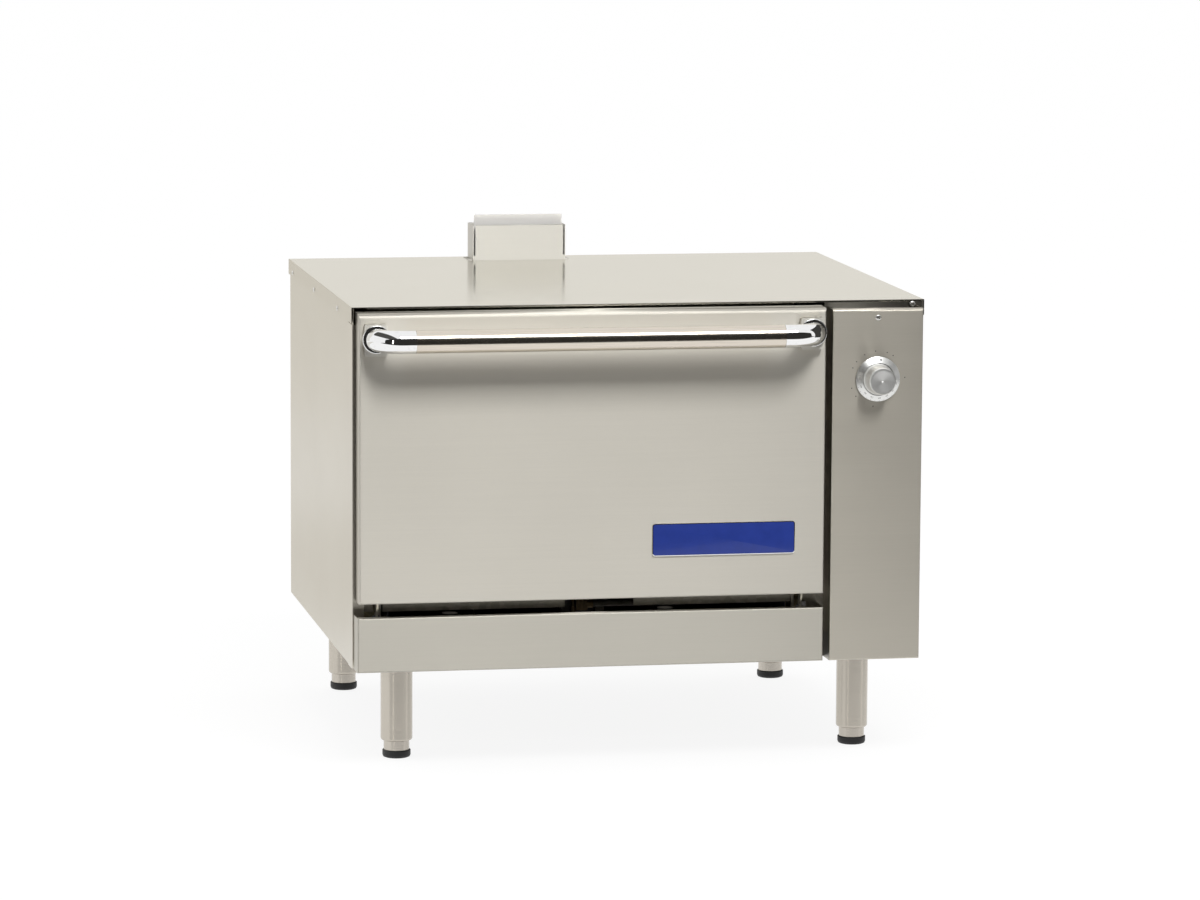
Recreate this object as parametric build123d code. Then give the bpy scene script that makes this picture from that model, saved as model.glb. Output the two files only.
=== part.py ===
from build123d import *
import math
import os

# Low gas oven on four legs: a folded steel casing round an insulated oven box,
# a drop-down door with balance springs, and a control compartment on the right.
# Millimetres. While it is drawn, x = 0 is the middle of the casing (x grows to
# the right), y = 0 is the front edge of the casing (y grows to the back) and
# z = 0 is the floor. save() moves the finished pieces to the oven's own frame.

# Casing
BODY_W = 914.4            # over the top panel's side flanges
BODY_D = 762.0            # front edge to back edge of the top panel
TOP_Z = 730.0             # floor to the top surface
BASE_Z = 160.0            # floor to the bottom edge of the casing
PROUD = 45.5              # door, kick and control panel faces in front of the casing
SHEET = 1.2               # folded stainless sheet
SEAM = 0.3                # gap between sheets or pieces that lie side by side
TOP_FLANGE_H = 25.0       # top panel's side and back flanges
HEM_H = 3.0               # folded front edge of the top panel
HEM_DEPTH = 12.0
CORNER_NOTCH = 25.0       # hem left out at each front corner
FRONT_STEP_D = 50.0       # front strip of a side panel, joggled out
FRONT_STEP = 1.2          # how far the strip stands out
FRONT_RETURN = 18.0       # side panel's return across the front
PANEL_RETURN = 14.0       # side panel's returns at the back and bottom
PANEL_CORNER_R = 14.0     # rounded lower front corner of a side panel

# Front frame round the oven mouth
FRAME_SHEET = 1.5
FRAME_TOP_DROP = 12.0     # frame's top edge below the top surface
SILL_RISE = 3.0           # lower edge of the frame's sill above the kick panel
FRAME_OVERLAP = 12.0      # frame past the control compartment's wall
NOTCH_W = 110.0           # lighting notch in the middle of the sill
NOTCH_H = 22.0
NOTCH_OFFSET = 18.0       # notch middle to the right of the door's middle

# Door
DOOR_MARGIN = 4.1         # casing side face to the door's left edge
DOOR_TOP_GAP = 6.4        # top surface to the door's top edge
DOOR_BACK = 5.0           # door's back to the front frame, where the seal sits
DOOR_TOP_BEND = 7.0
EDGE_BEND = 2.2
DOOR_PAN_FLANGE = 12.0
DOOR_INSULATION_CLEAR = 75.0   # insulation starts this far above the door's lower edge
GASKET_W = 9.0
GASKET_MARGIN = 6.0       # seal outside the oven mouth

# Kick and control panels
KICK_H = 86.0
KICK_LIFT = 2.0           # lower edges of kick and control panel above BASE_Z
KICK_LEFT_EXTRA = 2.6     # kick panel reaches further left than the door
DOOR_KICK_GAP = 22.0
PANEL_LIP = 12.0          # top and bottom returns of the kick and control panels
CONTROL_W = 146.0
CONTROL_GAP = 10.4        # door's right edge to the control panel
CONTROL_MARGIN = 10.9     # control panel's right edge to the casing side face
CONTROL_TOP_GAP = 9.0
CONTROL_BEND = 5.0

# Oven box
MOUTH_INSET = 52.5        # oven box's side walls from the door's side edges
CEILING_DROP = 55.0       # oven's ceiling below the top surface
REAR_SPACE = 87.5         # oven's back wall to the casing's back edge
DECK_RISE = 50.0          # oven deck above the door's lower edge
LINER_SHEET = 1.2
LINER_R = 15.0
LINER_FLANGE = 10.0
LEDGE_W = 14.0
LEDGE_T = 3.0
DECK_T = 3.0
DECK_LIP = 14.0
DECK_SLOT = (82.0, 12.0)
DECK_SLOTS = 5
VENT_SLOTS = 5
VENT_SLOT = (14.0, 22.0)
INSULATION_T = 40.0
INSULATION_FRONT = 48.0
FLOOR_PAN_RIM = 14.0
FLOOR_PAN_FRONT = 62.0
AIR_HOLE_R = 14.0
AIR_HOLES = 5

# Racks
GUIDE_SHEET = 1.5
GUIDE_LEDGE = 12.0
GUIDE_FIRST = 62.0        # lowest ledge above the deck
GUIDE_PITCH = 70.0
GUIDE_FRONT = 24.0
GUIDE_BACK_CLEAR = 12.0
GUIDE_DROP = 46.0         # guide's lower edge above the deck
GUIDE_HEADROOM = 55.0     # guide's upper edge below the oven's ceiling
GUIDE_STOP_H = 14.0       # stop at the back of each ledge
RACK_LEVEL = 1            # which ledge holds the rack
RACK_FRONT = 26.5         # rack's front end behind the front frame
RACK_RIM_R = 3.2
RACK_WIRE_R = 2.2
RACK_WIRES = 17
RACK_BACK_GAP = 8.0
RACK_STOP_H = 16.0        # raised bar at the back of the rack
RACK_STAYS = 3

# Flue riser
FLUE_OFFSET_X = 7.9       # flue's middle to the right of the door's middle
FLUE_W = 158.0
FLUE_D = 57.0
FLUE_SETBACK = 69.0       # front face to the back edge of the top panel
FLUE_H = 59.0             # sides above the top surface
FLUE_FRONT_W = 150.0
FLUE_BAFFLE_SETBACK = 15.0
FLUE_BAFFLE_H = 76.0
FLUE_BAFFLE_CUT = 4.0
FLUE_FOOT = 7.0
FLUE_FOOT_FRONT = 4.0     # foot's front end behind the flue's front face
FLUE_FOOT_SEAT = 0.4      # locating recess in the top panel under each foot
FLUE_DEPTH_BELOW = 105.0
FLUE_THROAT = (120.0, 26.0)

# Door hinges
HINGE_INSET = 39.0        # hinge plates from the door's side edges
HINGE_Y = -25.0
HINGE_RISE = 13.0         # pin above the door's lower edge
PIN_R = 5.0
RUNNING = 0.05            # radial clearance of a turning fit
HORN_T = 5.0
HORN_NOSE_R = 10.0
HORN_FRONT = 4.8
HORN_BACK = 40.0
HINGE_PLATE_T = 3.0
HINGE_PLATE_GAP = 3.5     # horn's side to the hinge channel's cheeks
CHEEK_R = 11.0
CHEEK_H = 56.0
LEVER_L = 40.0
LEVER_W = 16.0
LEVER_ANGLE = 70.0        # below horizontal while the door is shut
LEVER_HOLE_R = 3.0
SLOT_CLEAR = 2.0          # door and frame slots round the hinge plates
DOOR_OPEN_DEG = 90.0

# Balance springs
SPRING_R = 9.0
SPRING_WIRE_R = 1.5
HOOK_R = 7.0
SPRING_TAB_T = 3.0
SPRING_TAB_RISE = 10.0

# Handle
HANDLE_D = 36.0
HANDLE_STAND = 55.0       # bar's axis in front of the door
HANDLE_DROP = 37.0        # bar's axis below the door's top edge
HANDLE_INSET = 25.0       # legs of the handle from the door's side edges
ELBOW_R = 37.0
ELBOW_REACH = 55.0        # leg's axis to the joint with the bar
JOINT_GROOVE = 0.5
COLLAR_D = 44.0
COLLAR_T = 7.0
BRACKET_W = 36.0
BRACKET_H = 50.0
BRACKET_T = 12.0
BRACKET_CORNER_R = 4.0
BRACKET_DROP = 2.0
HANDLE_WALL = 2.0
HANDLE_SCREW_R = 4.0
HANDLE_SCREW_PITCH = 30.0

# Thermostat and knob
KNOB_BELOW_TOP = 120.0
KNOB_SKIRT_D = 71.0
KNOB_SKIRT_T = 6.0        # dial's flat in front of its back edge
KNOB_SKIRT_WALL = 1.4
KNOB_SKIRT_FLAT = 1.5     # dial's flat past the grip's base
KNOB_BORE_CLEAR = 0.1
KNOB_HUB_WALL = 5.0
KNOB_GAP = 1.5
KNOB_GRIP_BASE_D = 49.0
KNOB_GRIP_FRONT_D = 42.0
KNOB_GRIP_L = 29.0
KNOB_DISH = 3.0
KNOB_GRIP_RING = 2.5
KNOB_GRIP_LIP = 2.0
KNOB_BORE_SHARE = 0.6     # depth of the shaft's bore as a share of the grip
SHAFT_R = 4.0
SHAFT_FLAT = 1.2
SHAFT_HOLE_R = 7.0
THERMOSTAT = (62.0, 58.0, 84.0)
THERMOSTAT_NECK_R = 13.0
THERMOSTAT_NECK_L = 6.0
CONTROL_SCREW_DROP = 14.0
BRACKET_SHEET = 1.5
SCREW_R = 2.5
SCREW_HEAD_R = 4.6
SCREW_HEAD_H = 2.2
SCREW_HEAD_CHAMFER = 1.4
BULB_R = 4.8
BULB_L = 150.0
CAPILLARY_R = 1.2
CAPILLARY_BEND = 14.0
BULB_DROP = 13.0
BULB_STAND = 14.0

# Burner and gas line
BURNER_RISE = 46.0        # burner's axis above the base frame
BURNER_R = 24.0
BURNER_FRONT = 92.0
BURNER_REAR_GAP = 74.5    # burner's end to the oven's back wall
BURNER_WALL = 3.0
BELL_R = 29.0
BELL_L = 26.0
THROAT_R = 15.0
THROAT_L = 110.0
PORTS = 14
PORT_PITCH = 24.0
SHUTTER_WALL = 1.4
SHUTTER_L = 20.0
WINDOW_DEG = 70.0
GAS_TUBE_R = 5.0
GAS_TUBE_Y = 56.0
ORIFICE_R = 9.0
INLET_R = 13.33           # three-quarter inch pipe, outside
INLET_WALL = 2.9
INLET_RISE = 140.0        # pipe's axis above the casing's lower edge
INLET_INSET = 78.0        # from the casing's right side
INLET_STICKOUT = 20.0
INLET_HOLE_CLEAR = 2.0
INLET_NUT_AF = 38.0       # lock nut outside the back panel
INLET_NUT_H = 6.0
INLET_TURN = 90.0         # pipe's rise behind the thermostat
INLET_BEND = 42.7
FEED_BEND = 25.0
FEED_SHIFT = 40.0         # feed tube's slanted run above and below its middle
VALVE = (56.0, 64.0, 52.0)
BUTTON_R = 9.0
BUTTON_L = 16.0
BUTTON_TRAVEL = 5.0
BUTTON_CHAMFER = 2.5
BAFFLE_W = 300.0
BAFFLE_FLAT = 120.0
BAFFLE_RISE = 50.0        # heat spreader's flat above the burner's axis
BAFFLE_FALL = 16.0
BAFFLE_SHEET = 1.5

# Base and legs
BASE_H = 40.0
BASE_T = 3.0
BASE_ANGLE_W = 40.0
LEG_RAIL_W = 90.0
LEG_INSET_X = 86.0
FRONT_LEG_Y = 101.0
REAR_LEG_INSET = 52.0
LEG_D = 50.8
LEG_WALL = 1.6
LEG_SWAGE_R = 4.0
LEG_END_Z = 27.5          # leg's lower end above the floor
STUD_R = 8.0
NUT_R = 15.0
NUT_H = 16.0
STEM_D = 41.0
STEM_IN_LEG = 34.5        # stem inside the leg
ROD_R = 5.0
ROD_HEADROOM = 32.0       # rod's end below the casing
BUSH_ABOVE_STEM = 26.0
BUSH_T = 8.0
PAD_D = 45.0
PAD_H = 12.6
PAD_R = 4.0

# Back panel
LOUVRES = 7
LOUVRE = (90.0, 6.0)
LOUVRE_PITCH = 16.0
LOUVRE_DROP = 30.0        # top louvre below the oven's ceiling

# Places worked out from the sizes above
FLANGE_FACE = BODY_W / 2
SIDE_FACE = FLANGE_FACE - SHEET - SEAM
SIDE_MAIN = SIDE_FACE - FRONT_STEP
SIDE_INNER = SIDE_MAIN - SHEET
UNDER_TOP = TOP_Z - SHEET
FRAME_TOP = TOP_Z - FRAME_TOP_DROP
DOOR_W = 2 * SIDE_FACE - DOOR_MARGIN - CONTROL_GAP - CONTROL_W - CONTROL_MARGIN
LOWER_EDGE = BASE_Z + KICK_LIFT
KICK_TOP = LOWER_EDGE + KICK_H
FRAME_SILL_Z = KICK_TOP + SILL_RISE
DOOR_L = -SIDE_FACE + DOOR_MARGIN
DOOR_R = DOOR_L + DOOR_W
DOOR_X = (DOOR_L + DOOR_R) / 2
DOOR_Z = KICK_TOP + DOOR_KICK_GAP
DOOR_TOP = TOP_Z - DOOR_TOP_GAP
CONTROL_L = DOOR_R + CONTROL_GAP
CONTROL_R = CONTROL_L + CONTROL_W
CONTROL_X = (CONTROL_L + CONTROL_R) / 2
CONTROL_TOP = TOP_Z - CONTROL_TOP_GAP
PARTITION_R = CONTROL_L - SEAM
DECK_Z = DOOR_Z + DECK_RISE
CAVITY_L = DOOR_L + MOUTH_INSET
CAVITY_R = DOOR_R - MOUTH_INSET
CAVITY_W = CAVITY_R - CAVITY_L
CAVITY_TOP = TOP_Z - CEILING_DROP
CAVITY_BACK = BODY_D - REAR_SPACE
CAVITY_D = CAVITY_BACK - FRAME_SHEET
GUIDE_TOP = CAVITY_TOP - GUIDE_HEADROOM
GUIDE_LEVELS = int((GUIDE_TOP - DECK_Z - GUIDE_FIRST - GUIDE_STOP_H) / GUIDE_PITCH) + 1
FLUE_X = DOOR_X + FLUE_OFFSET_X
FLUE_Y = BODY_D - FLUE_SETBACK
BASE_TOP = BASE_Z + BASE_H
BURNER_Z = BASE_TOP + BURNER_RISE
BURNER_BACK = CAVITY_BACK - BURNER_REAR_GAP
BAFFLE_Z = BURNER_Z + BAFFLE_RISE
INLET_Z = BASE_Z + INLET_RISE
STEM_TOP_Z = LEG_END_Z + STEM_IN_LEG
ROD_TOP_Z = BASE_Z - ROD_HEADROOM
BUSH_Z = STEM_TOP_Z + BUSH_ABOVE_STEM
FLOOR_PAN_Z = BASE_TOP + LINER_SHEET
HINGE_Z = DOOR_Z + HINGE_RISE
KNOB_Z = TOP_Z - KNOB_BELOW_TOP
HANDLE_Z = DOOR_TOP - HANDLE_DROP
HANDLE_Y = -PROUD - HANDLE_STAND
HANDLE_LEGS = (DOOR_L + HANDLE_INSET, DOOR_R - HANDLE_INSET)
REAR_LEG_Y = BODY_D - REAR_LEG_INSET
LEGS = {
    "front_left": (-FLANGE_FACE + LEG_INSET_X, FRONT_LEG_Y),
    "front_right": (FLANGE_FACE - LEG_INSET_X, FRONT_LEG_Y),
    "rear_left": (-FLANGE_FACE + LEG_INSET_X, REAR_LEG_Y),
    "rear_right": (FLANGE_FACE - LEG_INSET_X, REAR_LEG_Y),
}
INLET_X = SIDE_FACE - INLET_INSET
THERMOSTAT_Y = FRAME_SHEET + BRACKET_SHEET
# Each hinge: its x, and the side (+1 right, -1 left) that its lever plate is on
HINGES = ((DOOR_L + HINGE_INSET, -1), (DOOR_R - HINGE_INSET, 1))
ORIGIN_Y = ((HANDLE_Y - HANDLE_D / 2) + (BODY_D + INLET_STICKOUT)) / 2


def slab(x, y, z):
    """Box between two corners, each axis given as (low, high)."""
    spans = (x, y, z)
    sizes = [high - low for low, high in spans]
    middles = [(low + high) / 2 for low, high in spans]
    return Pos(*middles) * Box(*sizes)


def rod(start, end, radius):
    """Round bar between two points."""
    run = Vector(*end) - Vector(*start)
    return Solid.make_cylinder(radius, run.length, Plane(origin=start, z_dir=run))


def rounded(low, high, corners):
    """Rectangle from low to high, with a radius at each named corner point."""
    middle = [(a + b) / 2 for a, b in zip(low, high)]
    face = Pos(*middle) * Rectangle(high[0] - low[0], high[1] - low[1])
    for corner, radius in corners:
        nearest = face.vertices().sort_by_distance((*corner, 0))[0]
        face = fillet(nearest, radius)
    return face


def in_yz(face, x_low, thickness):
    """Raise a face drawn as (y, z) into a plate of the given thickness along x."""
    return extrude(Plane.YZ.offset(x_low) * face, thickness)


def in_xz(face, y_low, thickness):
    """Raise a face drawn as (x, z) into a plate of the given thickness along y."""
    return extrude(Plane.XZ.offset(-y_low - thickness) * face, thickness)


def turned(profile, x, y, z):
    """Turn a profile of (radius, y) points round the line through x and z, starting at y."""
    face = make_face(Polyline(*profile, close=True))
    return Pos(x, y, z) * revolve(face, Axis.Y)


def front_block(x, y, z, top_bend, bend):
    """Block whose front edges are rounded: top_bend along the top, bend on the other three."""
    side = rounded((y[0], z[0]), (y[1], z[1]), [((y[0], z[1]), top_bend), ((y[0], z[0]), bend)])
    plan = rounded((x[0], y[0]), (x[1], y[1]), [((x[0], y[0]), bend), ((x[1], y[0]), bend)])
    return in_yz(side, x[0], x[1] - x[0]) & extrude(Pos(0, 0, z[0]) * plan, z[1] - z[0])


def front_pan(x, y, z, wall, top_bend, bend):
    """Folded sheet pan, open at the back, with its front edges bent round."""
    inside = (x[0] + wall, x[1] - wall), (y[0] + wall, y[1] + wall), (z[0] + wall, z[1] - wall)
    return front_block(x, y, z, top_bend, bend) - front_block(*inside, top_bend - wall, bend - wall)


def lipped_panel(x, z, top_bend):
    """Front panel that seats on the casing by full side returns and has short lips above and below."""
    panel = front_pan(x, (-PROUD, 0), z, SHEET, top_bend, EDGE_BEND)
    lip_end = -PROUD + PANEL_LIP
    inner = (x[0] + SHEET, x[1] - SHEET)
    return panel - slab(inner, (lip_end, 1), (z[0] - 1, z[1] + 1))


def pan_head(x, y, z, direction, shank):
    """Domed screw whose head seats at the point and faces along direction."""
    axis = Vector(*direction)
    seat = Plane(origin=(x, y, z), z_dir=axis)
    head = Solid.make_cylinder(SCREW_HEAD_R, SCREW_HEAD_H, seat)
    head = chamfer(head.edges().sort_by_distance(Vector(x, y, z) + axis * SCREW_HEAD_H)[0], SCREW_HEAD_CHAMFER)
    foot = Vector(x, y, z) - axis * shank
    return head + Solid.make_cylinder(SCREW_R, shank, Plane(origin=foot, z_dir=axis))


def save(node, *shapes):
    """Write one node, moved so that the origin is under the middle of the whole oven."""
    solids = [Pos(0, -ORIGIN_Y, 0) * solid for shape in shapes for solid in shape.solids()]
    piece = solids[0] if len(solids) == 1 else Compound(solids)
    export_step(piece, f"parts/{node}.step")


def top_screw_points():
    """Where the side flanges are screwed to the side panels: (y, z)."""
    rise = TOP_Z - 0.72 * TOP_FLANGE_H
    return [(y, rise) for y in (0.205 * BODY_D, 0.57 * BODY_D, 0.925 * BODY_D)]


def top_panel():
    """Flat sheet with flanges down the sides and back, a folded front hem and the flue cut-out."""
    sheet = slab((-FLANGE_FACE, FLANGE_FACE), (0, BODY_D), (UNDER_TOP, TOP_Z))
    flange_z = (TOP_Z - TOP_FLANGE_H, TOP_Z)
    for side in (-1, 1):
        edge = sorted((side * FLANGE_FACE, side * (FLANGE_FACE - SHEET)))
        sheet += slab(edge, (0, BODY_D), flange_z)
    sheet += slab((-FLANGE_FACE, FLANGE_FACE), (BODY_D - SHEET, BODY_D), flange_z)
    hem_x = FLANGE_FACE - CORNER_NOTCH
    sheet += slab((-hem_x, hem_x), (0, HEM_DEPTH), (TOP_Z - HEM_H, TOP_Z))
    outer = sheet.edges().filter_by(GeomType.LINE).filter_by(lambda e: e.center().Z > TOP_Z - 0.01)
    sheet = fillet(outer.filter_by(Axis.Y), SHEET * 0.8)
    cut_x = FLUE_W / 2 + SEAM
    hole = slab((FLUE_X - cut_x, FLUE_X + cut_x), (FLUE_Y - SEAM, FLUE_Y + FLUE_D + SEAM), (UNDER_TOP - 1, TOP_Z + 1))
    seats = [slab((x[0] - SEAM, x[1] + SEAM), (y[0] - SEAM, y[1] + SEAM), (TOP_Z - FLUE_FOOT_SEAT, TOP_Z + 1))
             for x, y in flue_feet()]
    screws = [rod((side * (FLANGE_FACE + 1), y, z), (side * (FLANGE_FACE - 3), y, z), SCREW_R)
              for side in (-1, 1) for y, z in top_screw_points()]
    return sheet - hole - seats - screws


def side_panel(side):
    """Side sheet with a joggled front strip, a front return, and returns at the back and bottom."""
    top = UNDER_TOP - SEAM
    front_top = TOP_Z - TOP_FLANGE_H - 2 * SHEET
    back = BODY_D - SHEET - SEAM

    def x_span(near, far):
        return sorted((side * near, side * far))

    main = slab(x_span(SIDE_INNER, SIDE_MAIN), (0, back), (BASE_Z, top))
    outline = rounded((0, BASE_Z), (FRONT_STEP_D, front_top), [((0, BASE_Z), PANEL_CORNER_R)])
    strip = in_yz(outline, x_span(SIDE_MAIN, SIDE_FACE)[0], FRONT_STEP)
    corner = slab((-FLANGE_FACE, FLANGE_FACE), (-1, PANEL_CORNER_R), (BASE_Z - 1, BASE_Z + PANEL_CORNER_R))
    round_end = in_yz(outline, -FLANGE_FACE, BODY_W)
    main -= corner - round_end
    front = slab(x_span(SIDE_FACE - FRONT_RETURN, SIDE_FACE), (0, SHEET), (BASE_Z + PANEL_CORNER_R, front_top))
    rear = slab(x_span(SIDE_INNER - PANEL_RETURN, SIDE_MAIN), (back - SHEET, back), (BASE_Z, top))
    foot = slab(x_span(SIDE_INNER - PANEL_RETURN, SIDE_MAIN), (PANEL_CORNER_R, back), (BASE_Z, BASE_Z + SHEET))
    panel = main + strip + front + rear + foot
    screws = [rod((side * (SIDE_FACE + 1), y, z), (side * (SIDE_INNER - 1), y, z), SCREW_R)
              for y, z in top_screw_points()]
    return panel - screws


def top_screws():
    """Three domed screws through each side flange."""
    shank = FLANGE_FACE - SIDE_INNER + 4
    return [pan_head(side * FLANGE_FACE, y, z, (side, 0, 0), shank)
            for side in (-1, 1) for y, z in top_screw_points()]


def back_x():
    """Half width of the back panel, inside the side panels' rear returns."""
    return SIDE_MAIN - SHEET - SEAM


def back_screw_points():
    """Where the back panel is screwed to the side panels' returns: (x, z)."""
    x = back_x() - PANEL_RETURN / 2
    heights = (BASE_Z + 30, (BASE_Z + TOP_Z) / 2, TOP_Z - TOP_FLANGE_H - 25)
    return [(side * x, z) for side in (-1, 1) for z in heights]


def back_y():
    """Span of the back panel along y, against the side panels' rear returns."""
    outside = BODY_D - 2 * SHEET - SEAM
    return outside - SHEET, outside


def back_panel():
    """Plain back sheet in front of the returns, louvred behind the controls, with the pipe's hole."""
    y = back_y()
    sheet = slab((-back_x(), back_x()), y, (BASE_TOP + SEAM, UNDER_TOP - SEAM))
    louvre_x = (PARTITION_R + SIDE_INNER) / 2
    for row in range(LOUVRES):
        z = CAVITY_TOP - LOUVRE_DROP - row * LOUVRE_PITCH
        sheet -= slab((louvre_x - LOUVRE[0] / 2, louvre_x + LOUVRE[0] / 2), (y[0] - 1, y[1] + 1), (z, z + LOUVRE[1]))
    sheet -= rod((INLET_X, y[0] - 1, INLET_Z), (INLET_X, y[1] + 1, INLET_Z), INLET_R + INLET_HOLE_CLEAR)
    for x, z in back_screw_points():
        sheet -= rod((x, y[0] - 1, z), (x, y[1] + 1, z), SCREW_R)
    return sheet


def base_frame():
    """Angle-iron rectangle with a cross rail over each pair of legs, leg nuts and spring tabs."""
    back = BODY_D - 3 * SHEET - 3 * SEAM
    x = SIDE_INNER - SEAM
    front = FRAME_SHEET + SEAM
    z = (BASE_Z + SHEET + SEAM, BASE_TOP)
    shell = slab((-x, x), (front, back), z)
    shell -= slab((-x + BASE_T, x - BASE_T), (front + BASE_T, back - BASE_T), (z[0] + BASE_T, z[1] + 1))
    inner = BASE_ANGLE_W
    frame = shell - slab((-x + inner, x - inner), (front + inner, back - inner), (z[0] - 1, z[1] + 1))
    for y in (FRONT_LEG_Y, REAR_LEG_Y):
        span = (y - LEG_RAIL_W / 2, y + LEG_RAIL_W / 2)
        rail = slab((-x + BASE_T, x - BASE_T), span, z)
        rail -= slab((-x, x), (span[0] + BASE_T, span[1] - BASE_T), (z[0] + BASE_T, z[1] + 1))
        frame += rail
    for leg_x, leg_y in LEGS.values():
        frame += slab((leg_x - NUT_R, leg_x + NUT_R), (leg_y - NUT_R, leg_y + NUT_R), (z[0], z[0] + NUT_H))
        frame -= rod((leg_x, leg_y, z[0] - 1), (leg_x, leg_y, z[0] + NUT_H + 1), STUD_R + RUNNING)
    for hinge_x, side in HINGES:
        lever_x = lever_middle(hinge_x, side)
        y, tab_z = spring_line()[0], spring_foot_z()
        tab = slab((lever_x - SPRING_R, lever_x + SPRING_R), (y - SPRING_R, front), (tab_z - SPRING_TAB_T, tab_z))
        frame += tab - rod((lever_x, y, tab_z - SPRING_TAB_T - 1), (lever_x, y, tab_z + 1), SPRING_WIRE_R + 1)
    return frame


def control_partition():
    """Wall between the oven and the control compartment, with holes for the tubes."""
    x = (PARTITION_R - SHEET, PARTITION_R)
    wall = slab(x, (FRAME_SHEET, BODY_D - 4 * SHEET), (BASE_TOP + SEAM, UNDER_TOP - SEAM))
    wall -= slab((x[0] - 1, x[1] + 1), (0, PANEL_RETURN + SEAM), (FRAME_TOP - SHEET - SEAM, TOP_Z))
    for y, z, radius in ((GAS_TUBE_Y, gas_tube_z(), GAS_TUBE_R + 1), (capillary_y(), bulb_z(), CAPILLARY_R + 2)):
        wall -= rod((x[0] - 1, y, z), (x[1] + 1, y, z), radius)
    return wall


def slot_top():
    """Upper end of the front frame's hinge slots, over the lever with the door open."""
    angle = math.radians(DOOR_OPEN_DEG - LEVER_ANGLE)
    return HINGE_Z + LEVER_L * math.sin(angle) + LEVER_W / 2 + SLOT_CLEAR


def slot_span(hinge_x, side):
    """Width that the horn and the lever plate need, as (low, high) along x."""
    inner = hinge_x - side * (HORN_T / 2 + SLOT_CLEAR)
    outer = hinge_x + side * (HORN_T / 2 + HINGE_PLATE_GAP + HINGE_PLATE_T + SLOT_CLEAR)
    return sorted((inner, outer))


def front_frame():
    """Sheet frame round the oven mouth: sill with hinge slots and lighting notch, stiles to the base."""
    left = -SIDE_FACE + FRONT_RETURN + SEAM
    right = PARTITION_R + FRAME_OVERLAP
    y = (0, FRAME_SHEET)
    sheet = slab((left, right), y, (BASE_TOP + SEAM, FRAME_TOP))
    stile = DOOR_R - FRONT_RETURN
    sheet -= slab((left - 1, stile), (-1, FRAME_SHEET + 1), (BASE_TOP, FRAME_SILL_Z))
    sheet -= slab((CAVITY_L, CAVITY_R), (-1, FRAME_SHEET + 1), (DECK_Z, CAVITY_TOP))
    notch_x = DOOR_X + NOTCH_OFFSET
    sheet -= slab((notch_x - NOTCH_W / 2, notch_x + NOTCH_W / 2), (-1, FRAME_SHEET + 1), (FRAME_SILL_Z - 1, FRAME_SILL_Z + NOTCH_H))
    for hinge_x, side in HINGES:
        sheet -= slab(slot_span(hinge_x, side), (-1, FRAME_SHEET + 1), (FRAME_SILL_Z - 1, slot_top()))
    sheet += slab((left, right), (0, PANEL_RETURN), (FRAME_TOP - SHEET, FRAME_TOP))
    return sheet


def kick_panel():
    """Lower front panel that hides the burner and lifts off."""
    return lipped_panel((DOOR_L - KICK_LEFT_EXTRA, DOOR_R), (LOWER_EDGE, KICK_TOP), EDGE_BEND)


def control_screw_points():
    """Panel screw on the panel's middle line, and the casing screw in the top corner: (x, y, z)."""
    corner_x = FLANGE_FACE - CORNER_NOTCH + SCREW_HEAD_R + 1.5
    corner_z = UNDER_TOP - SCREW_HEAD_R - 1.5
    return [(CONTROL_X, -PROUD, CONTROL_TOP - CONTROL_SCREW_DROP), (corner_x, FRAME_SHEET, corner_z)]


def control_panel():
    """Right front panel with the holes for the knob's shaft and its screw."""
    panel = lipped_panel((CONTROL_L, CONTROL_R), (LOWER_EDGE, CONTROL_TOP), CONTROL_BEND)
    panel -= rod((CONTROL_X, -PROUD - 1, KNOB_Z), (CONTROL_X, -PROUD + 3, KNOB_Z), SHAFT_HOLE_R)
    x, y, z = control_screw_points()[0]
    return panel - rod((x, y - 1, z), (x, y + 3, z), SCREW_R)


def control_bracket():
    """Plate that carries the thermostat, with an arm forward to the control panel's screw."""
    y = (FRAME_SHEET, FRAME_SHEET + BRACKET_SHEET)
    left = PARTITION_R + SEAM
    right = SIDE_FACE - SHEET - FRONT_STEP - 2 * SEAM
    plate = slab((left, right), y, (KNOB_Z - THERMOSTAT[2] / 2 - 12, FRAME_TOP - SHEET - SEAM))
    plate += slab((FLANGE_FACE - CORNER_NOTCH + SEAM, right), y, (CONTROL_TOP - 20, UNDER_TOP - SEAM))
    plate -= rod((CONTROL_X, 0, KNOB_Z), (CONTROL_X, y[1] + 1, KNOB_Z), THERMOSTAT_NECK_R + SEAM)
    x, panel_y, z = control_screw_points()[0]
    lip = panel_y + SHEET
    arm = slab((x - 14, x + 14), (lip, y[1]), (z - 8 - BRACKET_SHEET, z - 8))
    arm += slab((x - 14, x + 14), (lip, lip + BRACKET_SHEET), (z - 8 - BRACKET_SHEET, CONTROL_TOP - 6))
    bracket = plate + arm
    for sx, sy, sz in control_screw_points():
        bracket -= rod((sx, sy - 1, sz), (sx, sy + 6, sz), SCREW_R)
    return bracket


def control_screws():
    """The panel's screw and the casing screw beside it."""
    return [pan_head(x, y, z, (0, -1, 0), 5) for x, y, z in control_screw_points()]


def flue_feet():
    """Footprint of the two flanges that the flue stands on, as (x, y) spans."""
    left, right = FLUE_X - FLUE_W / 2, FLUE_X + FLUE_W / 2
    y = (FLUE_Y + FLUE_FOOT_FRONT, FLUE_Y + FLUE_D)
    return [((left - FLUE_FOOT, left + SHEET), y), ((right - SHEET, right + FLUE_FOOT), y)]


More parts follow.
